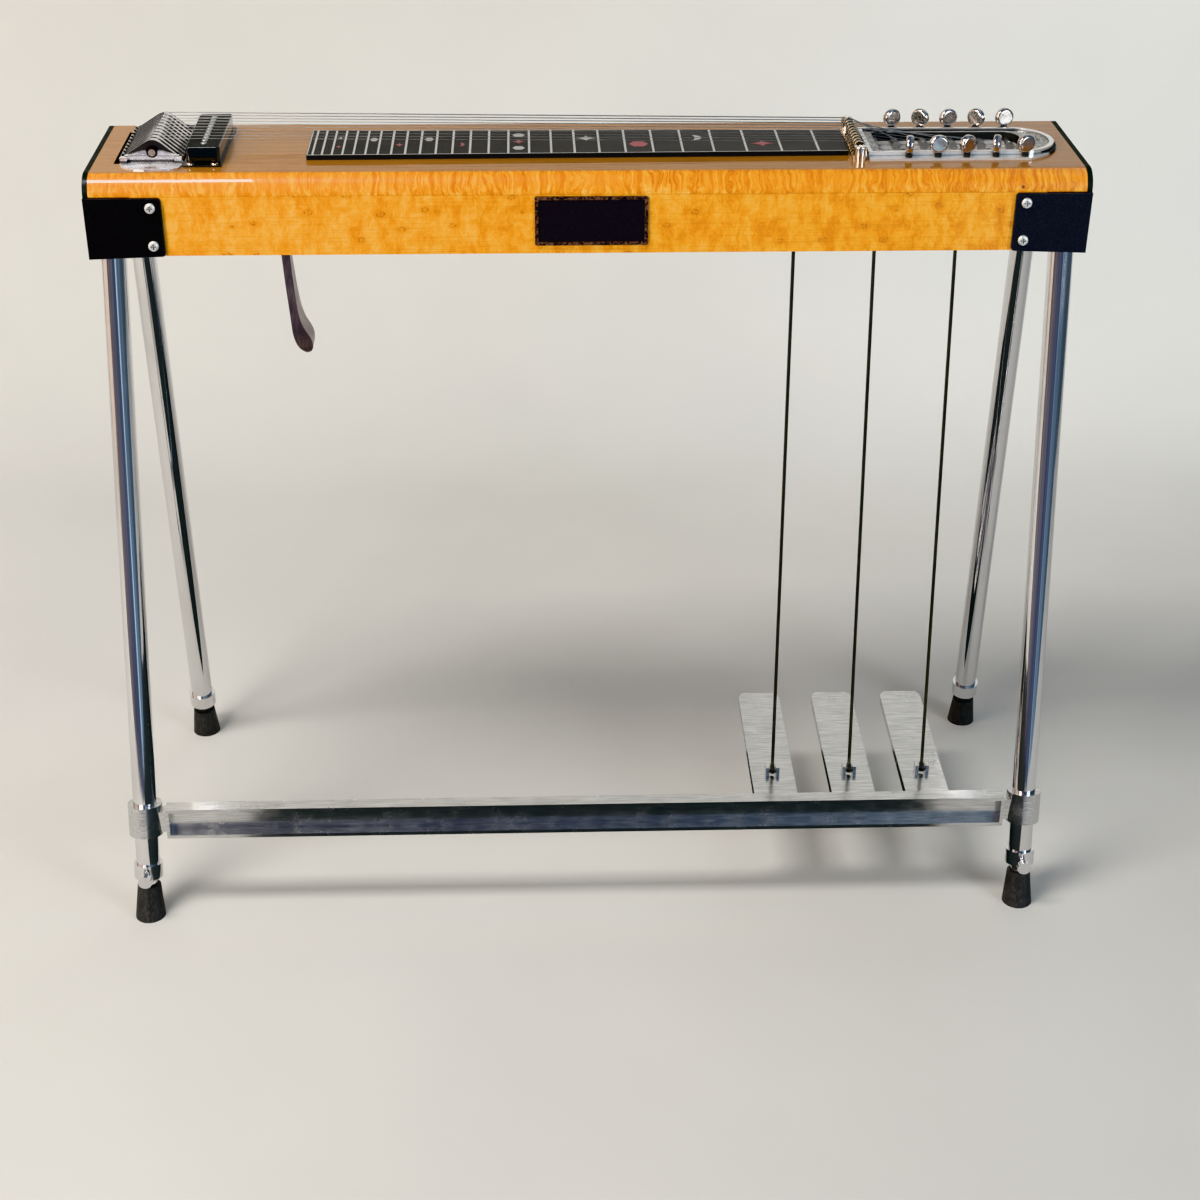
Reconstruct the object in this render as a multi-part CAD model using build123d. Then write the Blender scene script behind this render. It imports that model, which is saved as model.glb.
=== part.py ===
from build123d import *
import math
import os

os.makedirs("parts", exist_ok=True)

# ---------------------------------------------------------------
# Driving dimensions, mm.
# Working frame: X along the strings (nut side positive), Y from the
# front apron's face towards the player, Z up from the deck's top.
# ---------------------------------------------------------------
DECK_H = 700.0          # deck top above the floor
BODY_L = 861.4          # over the end plates
BODY_D = 154.7          # front apron face to rear apron face
BODY_H = 69.4           # deck top to apron bottom
PLATE_T = 4.6           # end plate thickness
DECK_T = 17.3           # deck board thickness
FRONT_R = 16.0          # rounding along the deck's front edge
APRON_T = 18.0
BRK_W, BRK_TOP, BRK_T = 65.6, 17.7, 3.4   # corner bracket flange

SCALE = 609.6           # open string length
X_NUT = 234.4
X_BRG = X_NUT - SCALE - 0.0
N_STR = 10
Y_BRG, P_BRG = 85.0, 8.73    # string centre and spacing at the changer
Y_NUT, P_NUT = 83.0, 7.8     # at the nut
GAUGE = [0.33, 0.38, 0.28, 0.36, 0.43, 0.51, 0.66, 0.76, 0.86, 0.97]

AX_Z, AX_R = 9.9, 4.0        # changer axle
FIN_R, FIN_T = 9.6, 7.3      # changer finger
ROLL_Z, ROLL_R, ROLL_G = 9.9, 4.0, 3.3   # nut roller axle, rim, groove

FB_X0, FB_X1, FB_T = -244.5, 226.0, 4.5
PITCH_TUNER = 25.4
TUN_X_NEAR, TUN_Y_NEAR = 277.0, 38.8
TUN_X_FAR, TUN_Y_FAR = 274.0, 121.0
KEY_TOP = 5.5

CRANK = 11.0                       # shaft axis to pull rod
PULL_Z = -42.0                     # pull rods
HALF = math.radians(9.5)           # half the cross shafts' swing
SHAFT_Z, SHAFT_R = PULL_Z + CRANK * math.cos(HALF), 4.0   # cross shafts
ARM = 25.0                         # shaft axis to pedal rod
ROD_TOP_Y = 30.0
ROD_TOP_X = [178.9, 249.8, 321.6]  # pedal rods at the cabinet
ROD_BOT_X = [180.3, 256.0, 328.0]  # and at the pedals
PEDAL_Y, PEDAL_Z = -58.0, -612.0   # pedal hinge shaft
PED_ARM = 60.0                     # hinge to pedal rod pin
LEVER_X, LEVER_Y = -273.2, 101.5

LEG_R, LEG_BORE, LOW_R = 11.0, 8.4, 7.9
# name: x and y at the cabinet's underside, lean outwards, lean in y (deg)
LEGS = {
    "front_left": (-413.2, 22.0, -0.94, -10.0),
    "front_right": (414.3, 22.0, -0.10, -10.0),
    "rear_left": (-409.1, 132.7, -0.18, 10.0),
    "rear_right": (407.6, 132.7, 1.02, 10.0),
}
TUBE_END = 576.0        # leg tube length below the cabinet
STRING_GROUPS = {"a": [5, 10], "b": [3, 6], "c": [4], "lever": [2, 9]}


# ---------------------------------------------------------------
# helpers
# ---------------------------------------------------------------
def bx(x0, x1, y0, y1, z0, z1):
    return Pos((x0 + x1) / 2, (y0 + y1) / 2, (z0 + z1) / 2) * Box(x1 - x0, y1 - y0, z1 - z0)


def rod(p0, p1, r, r2=None):
    """Round bar (or cone) from p0 to p1."""
    a, b = Vector(*p0), Vector(*p1)
    d = b - a
    pl = Plane(origin=a, z_dir=d)
    if r2 is None:
        return pl * Pos(0, 0, d.length / 2) * Cylinder(r, d.length)
    return pl * Pos(0, 0, d.length / 2) * Cone(r, r2, d.length)


def ring(p0, p1, ro, ri):
    return rod(p0, p1, ro) - rod(p0, p1, ri)


def prism_xz(pts, y0, y1):
    """Closed outline of (x, z) points, solid from y0 to y1."""
    f = make_face(Polyline(*[(x, 0, z) for x, z in pts], close=True))
    s = extrude(f, amount=(y1 - y0), dir=(0, 1, 0))
    return Pos(0, y0, 0) * s


def prism_xy(pts, z0, z1):
    f = make_face(Polyline(*[(x, y, 0) for x, y in pts], close=True))
    return Pos(0, 0, z0) * extrude(f, amount=(z1 - z0), dir=(0, 0, 1))


def prism_yz(pts, x0, x1):
    f = make_face(Polyline(*[(0, y, z) for y, z in pts], close=True))
    return Pos(x0, 0, 0) * extrude(f, amount=(x1 - x0), dir=(1, 0, 0))


def ys_brg(i):
    return Y_BRG + (i - 5.5) * P_BRG


def ys_nut(i):
    return Y_NUT + (i - 5.5) * P_NUT


HX = BODY_L / 2
NODES = {}


def node(name, *shapes):
    NODES[name] = list(shapes)


# ---------------------------------------------------------------
# cabinet
# ---------------------------------------------------------------
XI = HX - PLATE_T       # inner face of the end plates


def body_profile(x0, x1, z_low):
    """Cabinet section with the rounded front edge."""
    b = bx(x0, x1, 0, BODY_D, z_low, 0)
    e = b.edges().filter_by(Axis.X).filter_by(lambda e: e.center().Z > -0.01).sort_by(Axis.Y)
    b = fillet(e[0], FRONT_R)
    e = b.edges().filter_by(Axis.X).filter_by(lambda e: e.center().Z > -0.01).sort_by(Axis.Y)
    return fillet(e[-1], 2.5)


# changer route, keyhead route
ROUTE = (-409.0, -345.5, 38.0, 132.2)
deck = body_profile(-XI, XI, -DECK_T)
deck -= bx(ROUTE[0], ROUTE[1], ROUTE[2], ROUTE[3], -30, 10)
deck -= prism_xy([(258, 34.4), (385.2, 36.6), (386.6, 48.6), (391.9, 48.6), (391.9, 111.4),
                  (386.6, 111.4), (385.2, 124.4), (258, 125.6)], -30, 5)
# shallow recess for the pickup coil
deck -= bx(-343.5, -319.5, 44, 126, -12, 5)
node("deck_board", deck)

front = bx(-391.6, 391.6, 0, APRON_T, -BODY_H, -DECK_T)
node("front_apron", front)
rear = bx(-391.6, 391.6, BODY_D - APRON_T, BODY_D, -BODY_H, -DECK_T)
# round hole for the output jack's cup
JACK_X, JACK_Z = 238.0, -43.0
rear -= rod((JACK_X, BODY_D - 40, JACK_Z), (JACK_X, BODY_D + 5, JACK_Z), 9.0)
node("rear_apron", rear)

for side, nm in ((-1, "end_plate_left"), (1, "end_plate_right")):
    x0, x1 = sorted((side * XI, side * HX))
    p = body_profile(x0, x1, -BODY_H)
    if side < 0:
        for g in STRING_GROUPS.values():
            for i in g:
                p -= rod((-HX - 2, ys_brg(i), PULL_Z), (-HX + 10, ys_brg(i), PULL_Z), 4.0)
    for yy, zz in ((28, -11), (77.3, -11), (128, -11), (77.3, -58)):
        p -= rod((side * (HX + 1), yy, zz), (side * (HX - 10), yy, zz), 2.2)
    node(nm, p)


def leg_axis(k, s):
    x, y, ax, ay = LEGS[k]
    return (x + math.tan(math.radians(ax)) * s, y + math.tan(math.radians(ay)) * s, -BODY_H - s)


def bracket(k):
    """Cast corner: outer flange, filler behind it and a leg socket."""
    sx = -1 if "left" in k else 1
    fr = k.startswith("front")
    xo, xi = sx * HX, sx * (HX - BRK_W)
    # flange on the apron's face: top edge level, bottom edge drops outwards
    lean = math.tan(math.radians(0.8)) * (BODY_H - BRK_TOP)
    pts = [(xo, -BRK_TOP), (xi, -BRK_TOP), (xi - sx * lean, -BODY_H + 0.4), (xo - sx * lean, -BODY_H - 1.9)]
    y0, y1 = (-BRK_T, 0) if fr else (BODY_D, BODY_D + BRK_T)
    fl = prism_xz(pts, y0, y1)
    e = fl.edges().filter_by(Axis.Y)
    ins = [q for q in e if abs(q.center().X) < abs(xi) + 3]
    fl = fillet(ins, 3.0)
    x0, x1 = sorted((sx * 391.8, sx * (XI - 0.2)))
    ya, yb = (0, 9) if fr else (BODY_D - 9, BODY_D)
    wall = bx(x0, x1, ya, yb, -BODY_H, -DECK_T - 0.2)
    ya, yb = (0, 38) if fr else (BODY_D - 38, BODY_D)
    blk = bx(x0, x1, ya, yb, -BODY_H, -50)
    s = fl + wall + blk
    s -= rod(leg_axis(k, 8), leg_axis(k, -30), LEG_R)
    for xx, zz in SCREWS:
        s -= rod((sx * xx, -20, -zz), (sx * xx, BODY_D + 20, -zz), 2.6)
    return s


SCREWS = [(374.2, 26.0), (374.0, 59.4)]
node("corner_brackets", *[bracket(k) for k in LEGS])

# pan-head screws with a cross recess
def pan_screw(p, d, head_r=4.6, head_h=2.6, shank_r=2.5, length=12.0):
    pl = Plane(origin=p, z_dir=d)      # z_dir points out of the surface
    h = Pos(0, 0, head_h / 2) * Cylinder(head_r, head_h)
    h = fillet(h.edges().sort_by(Axis.Z)[-1], head_h * 0.72)
    for a in (0, 90):
        h -= Pos(0, 0, head_h) * Rot(0, 0, a) * Box(4.6, 1.0, 2.4)
    h += Pos(0, 0, -length / 2) * Cylinder(shank_r, length)
    return pl * h


scr = []
for sx in (-1, 1):
    for xx, zz in SCREWS:
        scr.append(pan_screw((sx * xx, -BRK_T, -zz), (0, -1, 0), length=3.2))
        scr.append(pan_screw((sx * xx, BODY_D + BRK_T, -zz), (0, 1, 0), length=3.2))
    for yy, zz in ((28, -11), (77.3, -11), (128, -11), (77.3, -58)):
        scr.append(pan_screw((sx * HX, yy, zz), (sx, 0, 0), 3.6, 2.0, 2.1, 4.4))
node("cabinet_screws", *scr)

# bare badge plate with a raised rim
bp = bx(-48.3, 49.0, -2.0, 0, -61.9, -18.4)
bp = fillet(bp.edges().filter_by(Axis.Y), 2.0)
pocket = bx(-45.2, 45.9, -3.0, -1.3, -58.8, -21.5)
node("badge_plate", bp - fillet(pocket.edges().filter_by(Axis.Y), 1.2))

# ---------------------------------------------------------------
# fretboard
# ---------------------------------------------------------------
fb = prism_xy([(FB_X0, 45.2), (FB_X1, 50.2), (FB_X1, 114.2), (FB_X0, 119.4)], 0, FB_T)
node("fretboard", fb)

# ---------------------------------------------------------------
# nut: base bar, two posts, axle, rollers
# ---------------------------------------------------------------
POST_Y = (Y_NUT - 4.5 * P_NUT - 8.6, Y_NUT + 4.5 * P_NUT + 8.6)
base = bx(X_NUT - 6.5, X_NUT + 6.5, POST_Y[0], POST_Y[1], 0, 3.0)
fr = base
for y in POST_Y:
    c = Pos(X_NUT, y, 6.0) * Cylinder(5.5, 12.0)
    fr += fillet(c.edges().sort_by(Axis.Z)[-1], 1.0)
fr -= rod((X_NUT, POST_Y[0], ROLL_Z), (X_NUT, POST_Y[1], ROLL_Z), 1.6)
for y in POST_Y:
    fr -= Pos(X_NUT, y, 12) * Cylinder(1.8, 0.8)
node("nut_frame", fr, rod((X_NUT, POST_Y[0] + 0.05, ROLL_Z), (X_NUT, POST_Y[1] - 0.05, ROLL_Z), 1.6))

rl = []
for i in range(1, N_STR + 1):
    y = ys_nut(i)
    r = rod((X_NUT, y - 2.9, ROLL_Z), (X_NUT, y + 2.9, ROLL_Z), ROLL_R)
    g = rod((X_NUT, y - 1.5, ROLL_Z), (X_NUT, y + 1.5, ROLL_Z), ROLL_R + 1) - \
        rod((X_NUT, y - 1.5, ROLL_Z), (X_NUT, y + 1.5, ROLL_Z), ROLL_G)
    rl.append(r - g - rod((X_NUT, y - 4, ROLL_Z), (X_NUT, y + 4, ROLL_Z), 1.66))
node("nut_rollers", *rl)

# ---------------------------------------------------------------
# keyhead
# ---------------------------------------------------------------
def head_outline(yn0, yn1, yf1, yf0, x0, x1, tip, z0, z1):
    ln = Line((x0, yn0, 0), (x1, yn1, 0))
    arc = ThreePointArc((x1, yn1, 0), (tip, (yn1 + yf1) / 2, 0), (x1, yf1, 0))
    lf = Line((x1, yf1, 0), (x0, yf0, 0))
    lb = Line((x0, yf0, 0), (x0, yn0, 0))
    f = make_face(Wire([ln.edge(), arc.edge(), lf.edge(), lb.edge()]))
    return Pos(0, 0, z0) * extrude(f, amount=(z1 - z0), dir=(0, 0, 1))


KX0 = 242.5
kh = head_outline(33.4, 35.4, 125.4, 126.8, KX0, 384, 413.5, 0, 2.0)
kh += head_outline(42.6, 44.6, 115.4, 117.6, KX0, 384, 411.5, 0, KEY_TOP)
# sunken panel inside a raised rim
kh -= head_outline(46.0, 47.6, 112.4, 114.2, KX0 + 3.4, 384, 407.5, KEY_TOP - 1.3, KEY_TOP + 1)
# pan below the deck
pan = bx(258.3, 391.5, 49.0, 111.0, -11.4, 1)
kh += pan
slot = bx(254.0, 384.0, 52.0, 108.0, -8.5, KEY_TOP + 1)
slot = fillet(slot.edges().filter_by(Axis.Z).sort_by(Axis.X)[-2:], 14.0)
kh -= slot
kh -= bx(253.0, 258.3, 52.0, 108.0, -0.01, KEY_TOP + 1)
# notch under the lowest string
kh -= bx(255.5, 268.0, 106.5, 111.5, 1.6, KEY_TOP + 1)
TUN = []
for j in range(5):
    TUN.append((j + 1, "near", TUN_X_NEAR + j * PITCH_TUNER, TUN_Y_NEAR + 0.5 * j * 0.6))
for j in range(5):
    TUN.append((10 - j, "far", TUN_X_FAR + j * PITCH_TUNER, TUN_Y_FAR))
POST_Z = -4.0
hous, posts = [], []
for i, row, x, y in TUN:
    kh -= rod((x, y, -3), (x, y, 10), 2.3)
    if row == "near":
        hb = bx(x - 6.0, x + 6.0, y - 3.0, 48.9, -11.0, -0.3)
        pa, pb = (x, 48.9, POST_Z), (x, 71.0, POST_Z)
        kh -= rod((x, 46.0, POST_Z), (x, 62.0, POST_Z), 3.1)
    else:
        hb = bx(x - 6.0, x + 6.0, 111.1, y + 3.0, -11.0, -0.3)
        pa, pb = (x, 111.1, POST_Z), (x, 89.0, POST_Z)
        kh -= rod((x, 98.0, POST_Z), (x, 114.0, POST_Z), 3.1)
    hb -= rod((x, y, -9.2), (x, y, 1), 2.05)
    hous.append(hb)
    p = rod(pa, pb, 2.9)
    p += rod((x, pb[1] - 0.8, POST_Z), (x, pb[1] + 0.8, POST_Z), 3.9)
    posts.append(p)
for sx, sy in ((249, 50), (249, 110), (398, 80)):
    kh -= Pos(sx, sy, KEY_TOP - 1.3) * Cylinder(1.8, 1.6)
node("keyhead", kh)
node("tuner_housings", *hous)
node("tuner_posts", *posts)

BUTTON_TURN = {1: 82, 2: 4, 3: 33, 4: 74, 5: 24, 10: 28, 9: -38, 8: 20, 7: -44, 6: 14}
for i, row, x, y in TUN:
    st = rod((x, y, -9.0), (x, y, 8.0), 2.0)
    st += rod((x, y, 2.3), (x, y, 5.2), 3.1)
    c = Rot(90, 0, 0) * extrude(make_face(Ellipse(8.4, 7.9).edge()), amount=3.3, both=True)
    c = fillet(c.edges(), 2.4)
    c = Pos(x, y, 13.2) * Rot(0, 0, BUTTON_TURN[i]) * c
    node("tuner_button_%d" % i, st + c)

# ---------------------------------------------------------------
# pickup
# ---------------------------------------------------------------
pp = bx(-348.6, -315.4, 26.6, 143.4, 0, 1.5)
pp = fillet(pp.edges().filter_by(Axis.Z), 2.0)
for sx in (-342.2, -321.6):
    for sy in (30.2, 139.8):
        pp -= Pos(sx, sy, 1) * Cylinder(1.7, 4)
screws_p = []
for sx in (-342.2, -321.6):
    for sy in (30.2, 139.8):
        screws_p.append(pan_screw((sx, sy, 1.5), (0, 0, 1), 3.0, 1.7, 1.7, 1.4))
node("pickup_plate", pp, *screws_p)
pc = bx(-346.0, -317.0, 34.2, 135.8, 1.5, 15.4)
pc = fillet(pc.edges().filter_by(Axis.Z), 3.0)
pc = fillet(pc.faces().sort_by(Axis.Z)[-1].edges(), 1.2)
X_PU = -331.5
t_pu = (X_PU - X_BRG) / SCALE
poles = []
for i in range(1, N_STR + 1):
    y = ys_brg(i) * (1 - t_pu) + ys_nut(i) * t_pu
    pc -= Pos(X_PU, y, 14) * Cylinder(2.6, 8)
    pl = Pos(X_PU, y, 13.4) * Cylinder(2.6, 5.6)
    poles.append(fillet(pl.edges().sort_by(Axis.Z)[-1], 0.8))
node("pickup_cover", pc)
node("pickup_poles", *poles)

# ---------------------------------------------------------------
# changer
# ---------------------------------------------------------------
FY0 = ys_brg(1) - FIN_T / 2
FY1 = ys_brg(10) + FIN_T / 2


def side_plate(y0, y1, s):
    """Low bar with a boss for the axle; s is -1 for the near plate, whose foot runs towards -Y."""
    bar = [(-399, 0), (-399, 7.0), (-396, 7.5), (-382.0, 11.2), (-368.4, 11.2), (-356.4, 7.4),
           (-352.5, 7.0), (-352.5, 0), (-356, 0), (-356, -56.5), (-391.2, -56.5), (-391.2, 0)]
    p = prism_xz(bar, y0, y1)
    p += rod((X_BRG, y0, AX_Z), (X_BRG, y1, AX_Z), 5.3)
    yb, ye = (y1, y0) if s < 0 else (y0, y1)
    k = 1.0 if s < 0 else 0.62
    foot = [(-402.6, yb), (-402.6, ye + s * 5.6 * k), (-400.6, ye + s * 11.6 * k), (-396.0, ye + s * 17.0 * k),
            (-388.6, ye + s * 20.4 * k), (-380.0, ye + s * 21.8 * k), (-371.0, ye + s * 22.0 * k), (-362.0, ye + s * 21.4 * k),
            (-355.4, ye + s * 19.8 * k), (-351.2, ye + s * 16.0 * k), (-349.4, ye + s * 9.6 * k), (-349.4, yb)]
    f = prism_xy(foot, 0, 1.5)
    sy = ye + s * 16.6 * k
    f -= bx(-379.5, -369.5, sy - 1.9, sy + 1.9, -1, 3)
    p += f
    return p - rod((X_BRG, y0 - 5, AX_Z), (X_BRG, y1 + 5, AX_Z), AX_R)


near = side_plate(38.5, 41.4, -1)
far = side_plate(128.6, 131.5, 1)
nuts = []
for x in (-399.4, -352.8):
    nuts.append(bx(x - 3.0, x + 3.0, 34.5, 38.4, 1.5, 6.4))
    nuts.append(bx(x - 3.0, x + 3.0, 131.6, 135.5, 1.5, 6.4))
frame_bars = [
    bx(-391.2, -356, 41.4, 128.6, -56.5, -54.0),
    bx(-361.0, -356.5, 41.4, 128.6, -36.0, -28.0),
    bx(-391.2, -387.6, 41.4, 128.6, -32.0, -24.0),
]
node("changer_frame", near, far, *nuts, *frame_bars)
node("changer_axle", rod((X_BRG, 37.2, AX_Z), (X_BRG, 132.8, AX_Z), AX_R))


def finger(i):
    """Rocker finger: round top on the axle, two sloping cheeks and a lower arm."""
    y = ys_brg(i)
    cx, cz, r = X_BRG, AX_Z, FIN_R
    al = math.radians(58.0)        # normal of the left cheek
    ar = math.radians(50.0)
    lt = (cx - r * math.cos(al), cz + r * math.sin(al))
    rt = (cx + r * math.cos(ar), cz + r * math.sin(ar))
    p0 = (-405.0, lt[1] - (lt[0] + 405.0) / math.tan(al))
    p1 = (-350.8, rt[1] - (-350.8 - rt[0]) / math.tan(ar))
    arc = ThreePointArc((lt[0], 0, lt[1]), (cx, 0, cz + r), (rt[0], 0, rt[1]))
    pts = [(rt[0], rt[1]), p1, (-351.6, p1[1] - 2.6), (-367.4, -9.0), (-367.4, -49.0), (-383.0, -49.0),
           (-383.0, -9.0), (-404.0, p0[1] - 2.6), p0, (lt[0], lt[1])]
    ls = [Line((a[0], 0, a[1]), (b[0], 0, b[1])) for a, b in zip(pts[:-1], pts[1:])]
    f = make_face(Wire([arc.edge()] + [q.edge() for q in ls]))
    s = extrude(f, amount=FIN_T, dir=(0, 1, 0))
    s = Pos(0, y - FIN_T / 2, 0) * s
    s -= rod((cx, y - 6, cz), (cx, y + 6, cz), AX_R + 0.05)
    s -= rod((-390, y, PULL_Z), (-360, y, PULL_Z), 2.1)
    return s, lt, p0


def tail(i, lt, p0):
    """String end wrapped over the finger and down its left cheek."""
    y, rs = ys_brg(i), GAUGE[i - 1] / 2
    cx, cz, rr = X_BRG, AX_Z, FIN_R + rs
    al = math.radians(58.0)
    a0 = math.radians(93.5)
    a1 = math.pi - al
    am = (a0 + a1) / 2
    pt = lambda a: (cx + rr * math.cos(a), y, cz + rr * math.sin(a))
    e = pt(a1)
    d = (-math.sin(al), -math.cos(al))
    ln = 24.5
    f = (e[0] + d[0] * ln, y, e[2] + d[1] * ln)
    path = Wire([ThreePointArc(pt(a0), pt(am), e).edge(), Line(e, f).edge()])
    s = pt(a0)
    t = (math.sin(a0) * -1, 0, math.cos(a0))
    sec = Plane(origin=s, z_dir=t) * Circle(rs)
    w = sweep(sec, path=path)
    ball = rod((f[0] - d[0] * 0.2, y - 1.6, f[2] + 0.9), (f[0] - d[0] * 0.2, y + 1.6, f[2] + 0.9), 1.3)
    return [w, ball]


fixed = [i for i in range(1, 11) if all(i not in g for g in STRING_GROUPS.values())]
fin = {}
for i in range(1, 11):
    s, lt, p0 = finger(i)
    fin[i] = [s] + tail(i, lt, p0)
node("fingers_fixed", *[q for i in fixed for q in fin[i]])
for g, ids in STRING_GROUPS.items():
    node("fingers_" + g, *[q for i in ids for q in fin[i]])

# ---------------------------------------------------------------
# strings, from the changer over the nut to the posts
# ---------------------------------------------------------------
strs = []
for i, row, x, y in TUN:
    rs = GAUGE[i - 1] / 2
    a = (X_BRG, ys_brg(i), AX_Z + FIN_R + rs + 0.32)
    b = (X_NUT, ys_nut(i), ROLL_Z + ROLL_G + rs + 0.32)
    k = (i - 1) if row == "near" else (10 - i)
    wy = 56.0 + 3.0 * k if row == "near" else 104.0 - 3.0 * k
    c = (x, wy, POST_Z + 2.9 + rs)
    strs.append(rod(a, b, rs))
    rr = ROLL_G + rs + 0.32
    th = math.atan2(b[2] - c[2], c[0] - b[0])
    t = (X_NUT + rr * math.sin(th), b[1], ROLL_Z + rr * math.cos(th))
    strs.append(rod(b, t, rs))
    strs.append(rod(t, c, rs))
    strs.append(ring((x, wy - 2.5 * rs - 0.3, POST_Z), (x, wy + 2.5 * rs + 0.3, POST_Z), 2.9 + 2 * rs, 2.9))
node("strings", *strs)

# ---------------------------------------------------------------
# cross shafts, bearing brackets, pull rods
# ---------------------------------------------------------------
Y_A, Y_B = APRON_T + 0.2, BODY_D - APRON_T - 0.2
shaft_x = [x + ARM * math.cos(HALF) for x in ROD_TOP_X]
brackets = []


def bearing(x, y0, y1):
    b = bx(x - 9, x + 9, y0, y1, SHAFT_Z - 8.5, -DECK_T)
    return b - rod((x, y0 - 5, SHAFT_Z), (x, y1 + 5, SHAFT_Z), SHAFT_R + 0.05)


def pull_crank(x, y):
    """Bell crank hanging from a shaft, leaning so that its pin swings evenly."""
    a = HALF
    px, pz = x - CRANK * math.sin(a), SHAFT_Z - CRANK * math.cos(a)
    pts = []
    c = ring((x, y - 2.0, SHAFT_Z), (x, y + 2.0, SHAFT_Z), 7.0, SHAFT_R)
    d = (math.cos(a), -math.sin(a))
    arm = prism_xz([(x - 3.2 * d[0], SHAFT_Z - 3.2 * d[1]), (x + 3.2 * d[0], SHAFT_Z + 3.2 * d[1]),
                    (px + 2.6 * d[0], pz + 2.6 * d[1]), (px - 2.6 * d[0], pz - 2.6 * d[1])], y - 2.0, y + 2.0)
    arm -= rod((x, y - 4, SHAFT_Z), (x, y + 4, SHAFT_Z), SHAFT_R)
    eye = rod((px, y - 2.0, pz), (px, y + 2.0, pz), 2.6)
    pin = rod((px, y + 2.0, pz), (px, y + 6.4, pz), 1.2)
    return c + arm + eye + pin, px, pz


def pull_rod(i, px, pz):
    """Rod with an eye round the crank's pin, through the finger to a nylon nut."""
    y = ys_brg(i)
    ey = y
    e = ring((px, ey - 1.4, pz), (px, ey + 1.4, pz), 3.4, 1.9)
    r = rod((px - 2.6, ey, pz), (-395.0, ey, PULL_Z), 1.2)
    r += e
    n = Pos(-408.8, ey, PULL_Z) * Rot(0, 90, 0) * extrude(RegularPolygon(3.2, 6), amount=25.2, both=True)
    n -= rod((-395.0, ey, PULL_Z), (-380.0, ey, PULL_Z), 1.2)
    return [r, n]


for j, key in enumerate("abc"):
    x = shaft_x[j]
    sh = rod((x, Y_A, SHAFT_Z), (x, Y_B, SHAFT_Z), SHAFT_R)
    # pedal arm, rising 9.5 degrees towards the rod
    ax, az = x - ARM * math.cos(HALF), SHAFT_Z + ARM * math.sin(HALF)
    d = (math.sin(HALF), math.cos(HALF))
    ya, yb = ROD_TOP_Y + 2.2, ROD_TOP_Y + 5.2
    arm = prism_xz([(x - 5 * d[0], SHAFT_Z - 5 * d[1]), (x + 5 * d[0], SHAFT_Z + 5 * d[1]),
                    (ax + 3 * d[0], az + 3 * d[1]), (ax - 3 * d[0], az - 3 * d[1])], ya, yb)
    arm += rod((x, ya, SHAFT_Z), (x, yb, SHAFT_Z), 7.0)
    arm += rod((ax, ya, az), (ax, yb, az), 3.0)
    arm += rod((ax, ROD_TOP_Y - 2.6, az), (ax, ya + 0.1, az), 1.6)
    sh += arm
    rods = []
    for i in STRING_GROUPS[key]:
        c, px, pz = pull_crank(x, ys_brg(i) - 4.6)
        sh += c
        rods += pull_rod(i, px, pz)
    node("cross_shaft_" + key, sh)
    node("pull_rods_" + key, *rods)
    brackets.append(bearing(x, Y_A + 1.6, Y_A + 4.6))
    brackets.append(bearing(x, Y_B - 4.6, Y_B - 1.6))

# knee lever with its own shaft
kx = LEVER_X
Y_L0, Y_L1 = 40.0, Y_B
ks = rod((kx, Y_L0, SHAFT_Z), (kx, Y_L1, SHAFT_Z), SHAFT_R)
left = [(-277.4, -38.0), (-277.0, -105.9), (-274.2, -139.5), (-271.9, -163.8), (-269.6, -182.8), (-265.9, -192.0), (-259.6, -198.5)]
right = [(-255.9, -196.5), (-253.5, -190.6), (-255.0, -180.7), (-260.4, -170.8), (-265.0, -154.3), (-267.3, -133.5), (-269.4, -106.0), (-269.8, -38.0)]
l1 = Spline(*[(a, 0, b) for a, b in left])
l2 = Line((left[-1][0], 0, left[-1][1]), (right[0][0], 0, right[0][1]))
l3 = Spline(*[(a, 0, b) for a, b in right])
l4 = Line((right[-1][0], 0, right[-1][1]), (left[0][0], 0, left[0][1]))
f = make_face(Wire([l1.edge(), l2.edge(), l3.edge(), l4.edge()]))
lev = Pos(0, LEVER_Y - 15, 0) * extrude(f, amount=30, dir=(0, 1, 0))
# seen from the side the blade swells to a rounded paddle
side = [(-38.0, 9.0), (-85.0, 8.0), (-115.0, 9.0), (-147.0, 13.0), (-172.0, 14.5), (-189.0, 11.5), (-199.5, 4.0)]
pa = Spline(*[(0, LEVER_Y - w, z) for z, w in side])
pb = Spline(*[(0, LEVER_Y + w, z) for z, w in reversed(side)])
pc1 = Line((0, LEVER_Y - side[-1][1], side[-1][0]), (0, LEVER_Y + side[-1][1], side[-1][0]))
pc2 = Line((0, LEVER_Y + side[0][1], side[0][0]), (0, LEVER_Y - side[0][1], side[0][0]))
f2 = make_face(Wire([pa.edge(), pc1.edge(), pb.edge(), pc2.edge()]))
mask = Pos(-300, 0, 0) * extrude(f2, amount=70, dir=(1, 0, 0))
lev = lev & mask
hub = bx(kx - 7.0, kx + 7.0, LEVER_Y - 9.0, LEVER_Y + 9.0, SHAFT_Z - 12.0, SHAFT_Z + 7.0)
ks += hub + lev
rods = []
for i in STRING_GROUPS["lever"]:
    c, px, pz = pull_crank(kx, ys_brg(i) - 4.6)
    ks += c
    rods += pull_rod(i, px, pz)
node("knee_lever", ks)
node("pull_rods_lever", *rods)
brackets.append(bearing(kx, Y_L0 + 1.6, Y_L0 + 4.6))
brackets.append(bearing(kx, Y_L1 - 4.6, Y_L1 - 1.6))
node("shaft_brackets", *brackets)

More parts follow.
